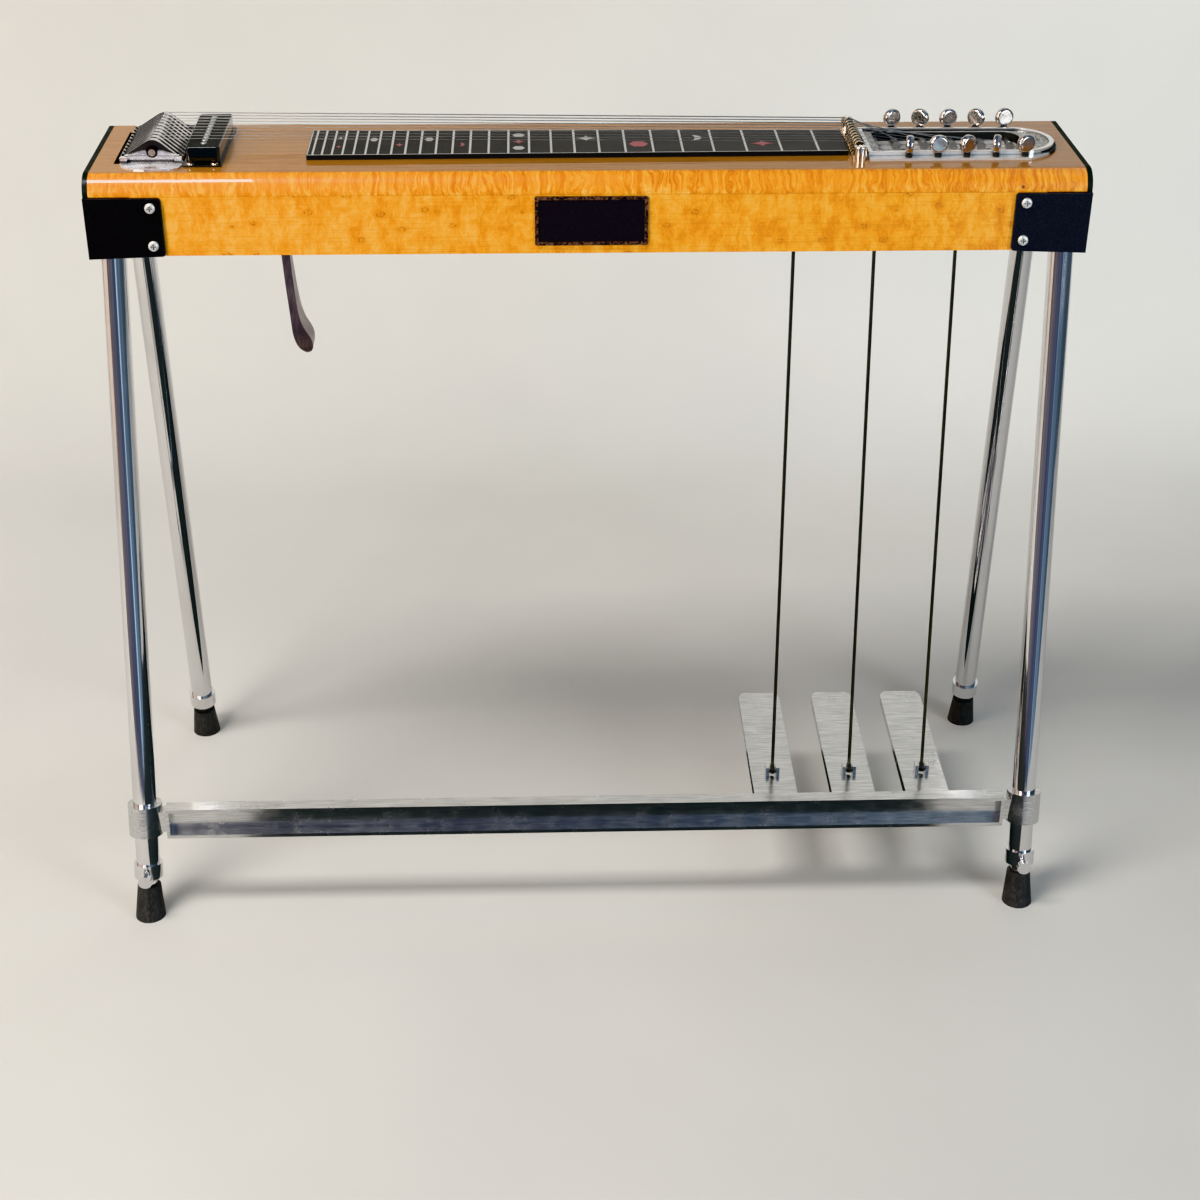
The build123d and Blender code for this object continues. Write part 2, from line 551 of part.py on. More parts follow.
# ---------------------------------------------------------------
# legs
# ---------------------------------------------------------------
tubes, collars = [], []
FLOOR_S = DECK_H - BODY_H
for k in LEGS:
    t = rod(leg_axis(k, -18.5), leg_axis(k, TUBE_END), LEG_R)
    t -= rod(leg_axis(k, 300), leg_axis(k, TUBE_END + 5), LEG_BORE)
    tubes.append(t)
    c = ring(leg_axis(k, TUBE_END), leg_axis(k, TUBE_END + 14), 13.5, LEG_BORE)
    e = leg_axis(k, TUBE_END + 7)
    sy = -1 if k.startswith("front") else 1
    sc = rod((e[0], e[1] + sy * 12.5, e[2]), (e[0], e[1] + sy * 19.0, e[2]), 3.0)
    sc += rod((e[0], e[1] + sy * 19.0, e[2]), (e[0], e[1] + sy * 24.0, e[2]), 6.5)
    collars.append(c + sc)
    low = rod(leg_axis(k, 330), leg_axis(k, FLOOR_S - 20), LOW_R)
    cap = bx(-600, 600, -400, 600, -900, -DECK_H)
    ft = rod(leg_axis(k, FLOOR_S - 32), leg_axis(k, FLOOR_S + 8), 11.0, 15.0) - cap
    ft -= rod(leg_axis(k, FLOOR_S - 40), leg_axis(k, FLOOR_S - 20), LOW_R)
    node("lower_leg_" + k, low, ft)
node("leg_tubes", *tubes)
node("leg_collars", *collars)

# ---------------------------------------------------------------
# pedal bar, clamps, hinge shaft, pedals, pedal rods
# ---------------------------------------------------------------
S_BAR = 531.0
fl, frr = leg_axis("front_left", S_BAR), leg_axis("front_right", S_BAR)
BZ, BY = fl[2], fl[1]
bar = bx(fl[0] + 20, frr[0] - 20, BY - 8, BY + 6, BZ - 19, BZ + 13)
bar -= bx(fl[0] + 23, frr[0] - 23, BY - 9, BY + 2.6, BZ - 15.5, BZ + 9.5)
lugs = []
LUG_X = [ROD_BOT_X[0] - 30, (ROD_BOT_X[0] + ROD_BOT_X[1]) / 2, (ROD_BOT_X[1] + ROD_BOT_X[2]) / 2, ROD_BOT_X[2] + 30]
for x in LUG_X:
    g = bx(x - 4, x + 4, BY + 6, PEDAL_Y + 7, PEDAL_Z - 7, PEDAL_Z + 7)
    lugs.append(g - rod((x - 6, PEDAL_Y, PEDAL_Z), (x + 6, PEDAL_Y, PEDAL_Z), 4.0))
node("pedal_bar", bar, *lugs)
cl = []
for k, sg in (("front_left", 1), ("front_right", -1)):
    c = ring(leg_axis(k, S_BAR - 15), leg_axis(k, S_BAR + 15), 16.0, LEG_R + 0.02)
    a = leg_axis(k, S_BAR)
    x0, x1 = sorted((a[0] + sg * 12.0, a[0] + sg * 19.9))
    b = bx(x0, x1, a[1] - 7, a[1] + 5, a[2] - 12, a[2] + 10)
    b -= rod(leg_axis(k, S_BAR - 40), leg_axis(k, S_BAR + 40), 15.5)
    cl.append(c + b)
node("pedal_bar_clamps", *cl)
node("pedal_shaft", rod((LUG_X[0] - 8, PEDAL_Y, PEDAL_Z), (LUG_X[-1] + 8, PEDAL_Y, PEDAL_Z), 4.0))

PIN_Y, PIN_Z = PEDAL_Y + PED_ARM, PEDAL_Z + 8.0
for j, key in enumerate("abc"):
    x = ROD_BOT_X[j]
    w = 21.0
    prof = [(PEDAL_Y + 9, PEDAL_Z - 4), (PEDAL_Y + 30, PEDAL_Z - 6), (PEDAL_Y + 195, PEDAL_Z + 1.0),
            (PEDAL_Y + 205, PEDAL_Z + 5.5), (PEDAL_Y + 203, PEDAL_Z + 9.0), (PEDAL_Y + 120, PEDAL_Z + 5.5),
            (PEDAL_Y + 30, PEDAL_Z + 3.5), (PEDAL_Y + 9, PEDAL_Z + 4)]
    p = prism_yz(prof, x - w, x + w)
    e = p.edges().filter_by(Axis.Z)
    plan = bx(x - w, x + w, PEDAL_Y - 10, PEDAL_Y + 206, PEDAL_Z - 30, PEDAL_Z + 30)
    plan = fillet(plan.edges().filter_by(Axis.Z).sort_by(Axis.Y)[-2:], 14.0)
    p = p & plan
    neck = bx(x - 21, x + 21, PEDAL_Y - 1, PEDAL_Y + 12, PEDAL_Z - 4, PEDAL_Z + 4)
    brl = rod((x - 21, PEDAL_Y, PEDAL_Z), (x + 21, PEDAL_Y, PEDAL_Z), 7.0)
    p += neck + brl
    p -= rod((x - 30, PEDAL_Y, PEDAL_Z), (x + 30, PEDAL_Y, PEDAL_Z), 4.05)
    # fork for the rod's eye, with a pocket under it
    p -= bx(x - 3.4, x + 3.4, PIN_Y - 8.5, PIN_Y + 8.5, PEDAL_Z + 0.9, PEDAL_Z + 20)
    for s in (-1, 1):
        p += bx(x + s * 5.0 - 1.6, x + s * 5.0 + 1.6, PIN_Y - 5, PIN_Y + 5, PEDAL_Z + 2, PIN_Z + 4)
    p += rod((x - 5, PIN_Y, PIN_Z), (x + 5, PIN_Y, PIN_Z), 1.6)
    node("pedal_" + key, p)
    ax, az = ROD_TOP_X[j], SHAFT_Z + ARM * math.sin(HALF)
    top, bot = Vector(ax, ROD_TOP_Y, az), Vector(x, PIN_Y, PIN_Z)
    d = (bot - top).normalized()
    a, b = top + d * 4.6, bot - d * 4.2
    r = rod(tuple(a), tuple(b), 1.6)
    # upper eye: slot round the arm's pin; lower eye round the fork's pin
    r += ring((ax, ROD_TOP_Y - 1.6, az), (ax, ROD_TOP_Y + 1.6, az), 5.6, 3.2)
    r += ring((x - 1.8, PIN_Y, PIN_Z), (x + 1.8, PIN_Y, PIN_Z), 5.0, 3.0)
    node("pedal_rod_" + key, r)

# ---------------------------------------------------------------
# output jack in the rear apron
# ---------------------------------------------------------------
jy = BODY_D
jk = ring((JACK_X, jy, JACK_Z), (JACK_X, jy + 1.6, JACK_Z), 13.5, 3.3)
jk += ring((JACK_X, jy - 34, JACK_Z), (JACK_X, jy, JACK_Z), 8.6, 3.3)
jk += ring((JACK_X, jy + 1.6, JACK_Z), (JACK_X, jy + 4.0, JACK_Z), 5.0, 3.3)
node("output_jack", jk)

# ---------------------------------------------------------------
# shift to the row's frame and write
# ---------------------------------------------------------------
def bounds():
    lo, hi = [1e9] * 3, [-1e9] * 3
    for ss in NODES.values():
        for s in ss:
            b = s.bounding_box()
            for a, (m, n) in enumerate(((b.min.X, b.max.X), (b.min.Y, b.max.Y), (b.min.Z, b.max.Z))):
                lo[a], hi[a] = min(lo[a], m), max(hi[a], n)
    return lo, hi


lo, hi = bounds()
CX, CY, CZ = (lo[0] + hi[0]) / 2, (lo[1] + hi[1]) / 2, lo[2]
SHIFT = (-CX, -CY, -CZ)
print("bounds", [round(v, 2) for v in lo], [round(v, 2) for v in hi], "shift", [round(v, 3) for v in SHIFT], "nodes", len(NODES))


def solids_of(shape):
    return list(shape.solids())


for name, ss in NODES.items():
    out = []
    for s in ss:
        out += [Pos(*SHIFT) * q for q in solids_of(s)]
    shape = out[0] if len(out) == 1 else Compound(children=out)
    export_step(shape, "parts/%s.step" % name)
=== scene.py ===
import math
import random

import bmesh
import bpy
from mathutils import Matrix, Vector


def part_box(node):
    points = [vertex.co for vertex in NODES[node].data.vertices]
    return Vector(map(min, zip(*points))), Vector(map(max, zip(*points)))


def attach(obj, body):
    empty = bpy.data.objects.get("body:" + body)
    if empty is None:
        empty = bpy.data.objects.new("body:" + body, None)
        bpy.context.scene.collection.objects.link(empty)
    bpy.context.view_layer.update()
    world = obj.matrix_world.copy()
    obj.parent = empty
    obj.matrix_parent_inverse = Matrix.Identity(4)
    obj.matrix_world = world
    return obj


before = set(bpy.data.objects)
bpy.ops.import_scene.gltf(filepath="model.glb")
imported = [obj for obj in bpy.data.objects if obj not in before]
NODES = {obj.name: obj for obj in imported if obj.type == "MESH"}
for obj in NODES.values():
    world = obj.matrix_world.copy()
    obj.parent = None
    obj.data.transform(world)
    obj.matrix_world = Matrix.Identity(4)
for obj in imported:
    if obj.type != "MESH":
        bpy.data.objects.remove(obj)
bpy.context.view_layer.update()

# the frame in metres; S() takes the drawing's millimetres (X along the strings,
# Y from the front apron's face, Z from the deck's top)
_d0, _d1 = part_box("deck_board")
OX, OY, OZ = (_d0[0] + _d1[0]) / 2, _d0[1], _d1[2]


def S(x, y, z):
    return Vector((OX + x / 1000, OY + y / 1000, OZ + z / 1000))


# ------------------------------------------------------------------
# materials
# ------------------------------------------------------------------
class Mat:
    """A node material with a Principled surface."""

    def __init__(self, name):
        self.m = bpy.data.materials.new(name)
        self.m.use_nodes = True
        self.t = self.m.node_tree
        self.t.nodes.clear()
        self.out = self.t.nodes.new("ShaderNodeOutputMaterial")
        self.b = self.t.nodes.new("ShaderNodeBsdfPrincipled")
        self.t.links.new(self.b.outputs[0], self.out.inputs[0])
        self.co = self.t.nodes.new("ShaderNodeTexCoord").outputs["Object"]

    def n(self, kind, **props):
        q = self.t.nodes.new("ShaderNode" + kind)
        for k, v in props.items():
            setattr(q, k, v)
        return q

    def put(self, sock, v):
        if isinstance(v, bpy.types.NodeSocket):
            self.t.links.new(v, sock)
        elif isinstance(v, (tuple, list)) and len(v) == 3 and sock.type == "RGBA":
            sock.default_value = (*v, 1.0)
        elif isinstance(v, (int, float)) and sock.type == "RGBA":
            sock.default_value = (v, v, v, 1.0)
        else:
            sock.default_value = v

    def set(self, **kw):
        names = {"base": "Base Color", "metal": "Metallic", "rough": "Roughness", "coat": "Coat Weight", "coat_rough": "Coat Roughness",
                 "ior": "IOR", "spec": "Specular IOR Level", "normal": "Normal", "sheen": "Sheen Weight", "aniso": "Anisotropic", "coat_ior": "Coat IOR",
                 "coat_normal": "Coat Normal", "sss": "Subsurface Weight"}
        for k, v in kw.items():
            self.put(self.b.inputs[names[k]], v)
        return self

    def scaled(self, sx, sy=None, sz=None, co=None, off=(0, 0, 0)):
        q = self.n("Mapping")
        self.put(q.inputs["Vector"], co or self.co)
        q.inputs["Scale"].default_value = (sx, sy if sy is not None else sx, sz if sz is not None else sx)
        q.inputs["Location"].default_value = off
        return q.outputs[0]

    def noise(self, co, scale=1.0, detail=4.0, rough=0.55, dist=0.0, out="Fac"):
        q = self.n("TexNoise")
        self.put(q.inputs["Vector"], co)
        self.put(q.inputs["Scale"], scale)
        self.put(q.inputs["Detail"], detail)
        self.put(q.inputs["Roughness"], rough)
        self.put(q.inputs["Distortion"], dist)
        return q.outputs["Fac" if out == "Fac" else "Color"]

    def voronoi(self, co, scale=1.0, feature="F1", out="Distance", rand=1.0):
        q = self.n("TexVoronoi", feature=feature)
        self.put(q.inputs["Vector"], co)
        self.put(q.inputs["Scale"], scale)
        self.put(q.inputs["Randomness"], rand)
        return q.outputs[out]

    def ramp(self, fac, stops, mode="LINEAR"):
        q = self.n("ValToRGB")
        q.color_ramp.interpolation = mode
        el = q.color_ramp.elements
        while len(el) < len(stops):
            el.new(0.5)
        for e, (p, c) in zip(el, stops):
            e.position = p
            e.color = (*c, 1.0) if isinstance(c, (tuple, list)) else (c, c, c, 1.0)
        self.put(q.inputs[0], fac)
        return q.outputs[0]

    def math(self, op, a, b=0.0, c=0.0, clamp=False):
        q = self.n("Math", operation=op, use_clamp=clamp)
        self.put(q.inputs[0], a)
        self.put(q.inputs[1], b)
        if op in ("MULTIPLY_ADD", "SMOOTH_MIN", "SMOOTH_MAX", "COMPARE"):
            self.put(q.inputs[2], c)
        return q.outputs[0]

    def step(self, v, a, b, lo=0.0, hi=1.0):
        q = self.n("MapRange", interpolation_type="SMOOTHSTEP")
        self.put(q.inputs["Value"], v)
        self.put(q.inputs["From Min"], a)
        self.put(q.inputs["From Max"], b)
        self.put(q.inputs["To Min"], lo)
        self.put(q.inputs["To Max"], hi)
        return q.outputs["Result"]

    def mix(self, fac, a, b, mode="MIX"):
        q = self.n("Mix", data_type="RGBA", blend_type=mode)
        self.put(q.inputs[0], fac)
        self.put(q.inputs[6], a)
        self.put(q.inputs[7], b)
        return q.outputs[2]

    def xyz(self, co=None):
        q = self.n("SeparateXYZ")
        self.put(q.inputs[0], co or self.co)
        return q.outputs[0], q.outputs[1], q.outputs[2]

    def vec(self, x, y, z):
        q = self.n("CombineXYZ")
        self.put(q.inputs[0], x)
        self.put(q.inputs[1], y)
        self.put(q.inputs[2], z)
        return q.outputs[0]

    def bump(self, height, strength, dist, normal=None):
        q = self.n("Bump")
        self.put(q.inputs["Height"], height)
        self.put(q.inputs["Strength"], strength)
        self.put(q.inputs["Distance"], dist)
        if normal is not None:
            self.put(q.inputs["Normal"], normal)
        return q.outputs[0]

    def facing(self):
        """Normal's z component, for what lies on upward faces."""
        g = self.n("NewGeometry").outputs["Normal"]
        return self.xyz(g)[2]

    def recess_shade(self, dist, lo=0.35, hi=0.85):
        """1 deep in a recess, 0 in the open; used to paint shade into recesses."""
        q = self.n("AmbientOcclusion", samples=4, only_local=True)
        self.put(q.inputs["Distance"], dist)
        return self.step(q.outputs["AO"], lo, hi, 1.0, 0.0)

    def edges(self, radius, lo=0.02, hi=0.25):
        """1 near a convex or concave edge, from a rounded normal."""
        bv = self.n("Bevel", samples=6)
        self.put(bv.inputs["Radius"], radius)
        g = self.n("NewGeometry").outputs["Normal"]
        q = self.n("VectorMath", operation="DOT_PRODUCT")
        self.put(q.inputs[0], bv.outputs[0])
        self.put(q.inputs[1], g)
        v = self.math("SUBTRACT", 1.0, q.outputs["Value"])
        return self.step(v, lo, hi)


def maple(name, figured):
    """Orange maple under clear lacquer. figured: 1 for the curly deck, 0 for the birdseye apron."""
    m = Mat(name)
    x, y, z = m.xyz()
    # down the front: distance along the surface, so that streaks carry over the rounded edge
    run = m.math("SUBTRACT", y, z)
    sway = m.math("MULTIPLY", m.math("SUBTRACT", m.noise(m.scaled(34, 22, 22, off=(3.1, 0, 0)), 1.0, 3.0, 0.6), 0.5), 0.022)
    jig = m.math("MULTIPLY", m.math("SUBTRACT", m.noise(m.scaled(110, 80, 80), 1.0, 2.0, 0.6), 0.5), 0.006)
    fx = m.math("ADD", x, m.math("ADD", sway, jig))
    broad = m.noise(m.scaled(5.0, 9.0, 9.0), 1.0, 2.0, 0.5)
    # long grain and pores
    grain = m.noise(m.scaled(14, 650, 650), 1.0, 3.0, 0.6, 0.4)
    pores = m.noise(m.scaled(60, 2400, 2400), 1.0, 2.0, 0.6)
    # figure: narrow flames across the grain, hanging down the face
    fig = m.noise(m.vec(m.math("MULTIPLY", fx, 235.0), m.math("MULTIPLY", run, 60.0), 2.0), 1.0, 4.0, 0.66)
    figb = m.noise(m.vec(m.math("MULTIPLY", fx, 560.0), m.math("MULTIPLY", run, 190.0), 7.0), 1.0, 3.0, 0.66)
    flame = m.noise(m.vec(m.math("MULTIPLY", fx, 70.0), m.math("MULTIPLY", run, 17.0), 5.0), 1.0, 2.0, 0.55)
    blob = m.noise(m.vec(m.math("MULTIPLY", fx, 84.0), m.math("MULTIPLY", run, 46.0), 11.0), 1.0, 5.0, 0.70)
    where = m.noise(m.vec(m.math("MULTIPLY", x, 11.0), m.math("MULTIPLY", run, 8.0), 3.0), 1.0, 2.0, 0.5)
    # birdseyes: small broken curls where a hash of the cell lets them be
    wx = m.math("ADD", x, m.math("MULTIPLY", m.math("SUBTRACT", m.noise(m.scaled(420), 1.0, 2.0), 0.5), 0.004))
    cells = m.vec(m.math("MULTIPLY", wx, 50.0), m.math("MULTIPLY", run, 74.0), 0.0)
    dist = m.voronoi(cells, 1.0)
    keep = m.step(m.voronoi(cells, 1.0, out="Color"), 0.46, 0.54)
    broken = m.step(m.noise(m.scaled(500, 500, 500, off=(1, 2, 3)), 1.0, 2.0), 0.42, 0.56)
    eye = m.step(dist, 0.03, 0.085, 1.0, 0.0)
    ring = m.math("MULTIPLY", m.step(dist, 0.10, 0.14), m.step(dist, 0.17, 0.22, 1.0, 0.0))
    halo = m.step(dist, 0.14, 0.42, 1.0, 0.0)
    glow = (0.95, 0.53, 0.13)
    pale = (0.88, 0.43, 0.055)
    mid = (0.80, 0.315, 0.014)
    deep = (0.55, 0.16, 0.002)
    if figured:
        k = m.math("ADD", m.math("MULTIPLY", fig, 0.55), m.math("ADD", m.math("MULTIPLY", figb, 0.27), m.math("MULTIPLY", flame, 0.18)))
        col = m.ramp(k, [(0.435, deep), (0.470, (0.66, 0.215, 0.004)), (0.510, mid), (0.55, pale), (0.60, glow)])
        flecks = m.noise(m.vec(m.math("MULTIPLY", fx, 700.0), m.math("MULTIPLY", run, 330.0), 4.0), 1.0, 2.0, 0.6)
        col = m.mix(m.step(flecks, 0.46, 0.32, 0.0, 0.50), col, (0.58, 0.17, 0.003))
        amount = m.step(where, 0.30, 0.52, 0.55, 1.0)
        col = m.mix(amount, (0.81, 0.33, 0.02), col)
    else:
        k = m.math("ADD", m.math("MULTIPLY", blob, 0.46), m.math("ADD", m.math("MULTIPLY", fig, 0.16), m.math("ADD", m.math("MULTIPLY", flame, 0.20), m.math("MULTIPLY", figb, 0.18))))
        col = m.ramp(k, [(0.43, (0.66, 0.215, 0.003)), (0.475, (0.79, 0.305, 0.010)), (0.52, (0.87, 0.39, 0.034)), (0.57, (0.93, 0.48, 0.08))])
        flecks = m.noise(m.vec(m.math("MULTIPLY", fx, 820.0), m.math("MULTIPLY", run, 420.0), 4.0), 1.0, 2.0, 0.6)
        col = m.mix(m.step(flecks, 0.56, 0.72, 0.0, 0.38), col, (0.97, 0.55, 0.13))
        col = m.mix(m.step(flecks, 0.44, 0.30, 0.0, 0.42), col, (0.60, 0.19, 0.003))
    if figured:
        # painted shade: where the rounded edge turns up towards the top, the same maple is darkened and browned
        turn = m.step(m.facing(), 0.10, 0.55)
        col = m.mix(m.math("MULTIPLY", turn, 0.8), col, m.mix(1.0, col, (0.85, 0.78, 0.38), "MULTIPLY"))
    # the left end is paler, the right end more orange
    col = m.mix(m.step(x, -0.25, 0.30, 0.0, 0.45), col, m.mix(1.0, col, (0.955, 0.93, 0.36), "MULTIPLY"))
    col = m.mix(m.step(broad, 0.35, 0.7, 0.0, 0.18), col, (0.90, 0.36, 0.012))
    col = m.mix(m.step(grain, 0.50, 0.66, 0.0, 0.13 if figured else 0.34), col, (0.55, 0.19, 0.012))
    col = m.mix(m.step(pores, 0.58, 0.75, 0.0, 0.16), col, (0.50, 0.17, 0.012))
    # darker growth lines near the apron's top and bottom
    if not figured:
        low = m.math("MAXIMUM", m.step(z, OZ - 0.058, OZ - 0.066), m.step(z, OZ - 0.027, OZ - 0.019, 0.0, 0.7))
        lines = m.noise(m.vec(m.math("MULTIPLY", x, 7.0), m.math("MULTIPLY", y, 40.0), m.math("MULTIPLY", z, 1100.0)), 1.0, 3.0, 0.65, 0.5)
        col = m.mix(m.math("MULTIPLY", low, m.step(lines, 0.50, 0.66, 0.0, 0.45)), col, (0.48, 0.15, 0.008))
    ek = m.math("MULTIPLY", keep, 1.0 if not figured else 0.5)
    col = m.mix(m.math("MULTIPLY", halo, m.math("MULTIPLY", ek, 0.60)), col, (0.66, 0.225, 0.006))
    col = m.mix(m.math("MULTIPLY", ring, m.math("MULTIPLY", ek, m.math("MULTIPLY", broken, 0.9))), col, (0.44, 0.135, 0.006))
    col = m.mix(m.math("MULTIPLY", eye, m.math("MULTIPLY", ek, 0.8)), col, (0.46, 0.145, 0.008))
    # specks of mineral
    speck = m.step(m.voronoi(m.scaled(210, 150, 210, off=(0.3, 0.1, 0.7)), 1.0), 0.04, 0.075, 1.0, 0.0)
    lets = m.step(m.noise(m.scaled(8, 8, 8, off=(5, 5, 5)), 1.0, 1.0), 0.50, 0.60)
    col = m.mix(m.math("MULTIPLY", speck, m.math("MULTIPLY", lets, 0.40)), col, (0.34, 0.10, 0.010))
    # glue line between deck and apron
    seam = m.math("MULTIPLY", m.step(m.math("ABSOLUTE", m.math("SUBTRACT", z, OZ - 0.0173)), 0.0002, 0.0006, 1.0, 0.0), m.step(y, OY + 0.02, OY + 0.03, 1.0, 0.0))
    col = m.mix(m.math("MULTIPLY", seam, 0.42), col, (0.36, 0.11, 0.008))
    if figured:
        # one dark knot low on the right
        kp = S(370.5, 0.0, -13.0)
        q = m.n("VectorMath", operation="DISTANCE")
        m.put(q.inputs[0], m.vec(m.math("MULTIPLY", x, 1.0), 0.0, m.math("MULTIPLY", z, 1.0)))
        q.inputs[1].default_value = (kp.x, 0.0, kp.z)
        col = m.mix(m.step(q.outputs["Value"], 0.0007, 0.0023, 0.9, 0.0), col, (0.10, 0.02, 0.008))
        # the top is smoother, with its grain along the strings; its darker, browner colour is painted shade on the
        # same maple as the front
        up = m.step(m.facing(), 0.955, 0.998)
        streak = m.noise(m.scaled(9, 420, 420, off=(7, 3, 1)), 1.0, 4.0, 0.65, 0.3)
        top = m.mix(m.step(streak, 0.35, 0.68), (0.325, 0.142, 0.026), (0.225, 0.092, 0.014))
        top = m.mix(m.step(pores, 0.52, 0.72, 0.0, 0.40), top, (0.13, 0.055, 0.008))
        top = m.mix(0.05, top, col)
        top = m.mix(m.step(where, 0.35, 0.65, 0.0, 0.22), top, (0.33, 0.150, 0.030))
        col = m.mix(up, col, top)
        # walls of the two cut-outs painted near black: painted shade in the recesses
        lo, hi = S(-411.0, 36.0, -30), S(-343.5, 134.2, -0.25)
        lo2, hi2 = S(255.0, 32.5, -30), S(394.0, 127.5, -0.25)
        cutout_shade = None
        for a, b in ((lo, hi), (lo2, hi2)):
            w = m.math("MULTIPLY", m.math("MULTIPLY", m.math("GREATER_THAN", x, a.x), m.math("LESS_THAN", x, b.x)),
                       m.math("MULTIPLY", m.math("MULTIPLY", m.math("GREATER_THAN", y, a.y), m.math("LESS_THAN", y, b.y)), m.math("LESS_THAN", z, b.z)))
            cutout_shade = w if cutout_shade is None else m.math("MAXIMUM", cutout_shade, w)
        col = m.mix(cutout_shade, col, (0.006, 0.005, 0.004))
        # the strip of deck seen through the end of the keyhead's slot is painted dark grey: painted shade at the
        # bottom of the slot
        a, b = S(252.0, 47.0, -1.0), S(259.5, 113.0, 0.5)
        strip = m.math("MULTIPLY", m.math("MULTIPLY", m.math("GREATER_THAN", x, a.x), m.math("LESS_THAN", x, b.x)),
                       m.math("MULTIPLY", m.math("MULTIPLY", m.math("GREATER_THAN", y, a.y), m.math("LESS_THAN", y, b.y)), m.math("GREATER_THAN", z, a.z)))
        col = m.mix(strip, col, (0.10, 0.095, 0.09))
        m.set(coat=m.math("MULTIPLY", m.math("SUBTRACT", 1.0, cutout_shade), m.math("MULTIPLY_ADD", up, -0.25, 1.0)), spec=m.math("MULTIPLY_ADD", up, -0.30, 0.35))
    else:
        m.set(coat=1.0, spec=0.35)
    m.set(base=col, rough=m.step(grain, 0.3, 0.8, 0.36, 0.48), coat_rough=0.02, coat_ior=1.6)
    m.set(coat_normal=m.bump(m.noise(m.scaled(22), 1.0, 2.0), 0.05, 0.004),
          normal=m.bump(grain, 0.10, 0.0004))
    return m.m


def lacquer_black(name, base=(0.006, 0.009, 0.006), rough=0.34, dust=0.12):
    m = Mat(name)
    n = m.noise(m.scaled(90), 1.0, 4.0)
    col = m.mix(m.step(n, 0.45, 0.8, 0.0, dust), base, (0.05, 0.052, 0.045))
    # painted highlight: the edges are painted a patchy paler grey
    e = m.edges(0.0012, 0.03, 0.3)
    col = m.mix(m.math("MULTIPLY", e, m.step(n, 0.4, 0.6, 0.05, 0.35)), col, (0.09, 0.09, 0.07))
    m.set(base=col, rough=m.step(n, 0.3, 0.8, rough, rough + 0.16), spec=m.step(m.facing(), 0.7, 0.95, 0.24, 0.04))
    return m.m


def crinkle(name):
    """Wrinkle-finish black paint, with painted highlights: pale along the edges and pale bluish specks; the left
    end's brackets are painted darker, a painted shade.
    """
    m = Mat(name)
    a = m.voronoi(m.scaled(620), 1.0)
    b = m.noise(m.scaled(900), 1.0, 3.0, 0.6, 1.2)
    h = m.math("ADD", m.math("MULTIPLY", a, 0.6), b)
    # painted highlight: the edges are painted pale in patches
    e = m.edges(0.0016, 0.02, 0.28)
    # painted shade: the brackets at the left end get a darker black than those at the right
    right = m.step(m.xyz()[0], -0.2, 0.2)
    col = m.mix(m.step(b, 0.4, 0.7), m.mix(right, (0.001, 0.001, 0.0012), (0.008, 0.0085, 0.012)), m.mix(right, (0.006, 0.0058, 0.0066), (0.026, 0.027, 0.036)))
    col = m.mix(m.math("MULTIPLY", e, m.step(m.noise(m.scaled(120), 1.0, 3.0), 0.35, 0.6, 0.15, 0.85)), col, (0.085, 0.085, 0.092))
    # painted glints: pale bluish specks on the wrinkles
    painted_glint = m.step(m.voronoi(m.scaled(260, 260, 260, off=(1.7, 0.2, 0.9)), 1.0), 0.04, 0.10, 1.0, 0.0)
    col = m.mix(m.math("MULTIPLY", painted_glint, 0.25), col, (0.12, 0.13, 0.18))
    m.set(base=col, rough=0.55, spec=0.16, normal=m.bump(h, 0.55, 0.0006))
    return m.m


def chrome(name, tint=(0.80, 0.80, 0.80), rough=0.06, cloud=0.10, pits=0.0, wave=0.0):
    m = Mat(name)
    c = m.noise(m.scaled(70), 1.0, 4.0, 0.6)
    fine = m.noise(m.scaled(900), 1.0, 3.0, 0.6)
    col = m.mix(m.step(c, 0.45, 0.75, 0.0, 0.35), tint, tuple(v * 0.78 for v in tint))
    if pits:
        p = m.step(m.voronoi(m.scaled(380), 1.0), 0.05, 0.12, 1.0, 0.0)
        lets = m.step(m.noise(m.scaled(30, 30, 14, off=(2, 4, 1)), 1.0, 3.0), 0.55, 0.66)
        col = m.mix(m.math("MULTIPLY", p, m.math("MULTIPLY", lets, pits)), col, (0.16, 0.11, 0.07))
    r = m.math("ADD", m.step(c, 0.4, 0.8, rough, rough + cloud), m.math("MULTIPLY", fine, 0.02))
    m.set(base=col, metal=1.0, rough=r)
    hs = m.math("ADD", m.math("MULTIPLY", c, 0.7), m.math("MULTIPLY", fine, 0.12))
    m.set(normal=m.bump(hs, 0.12 + wave, 0.0006))
    return m.m


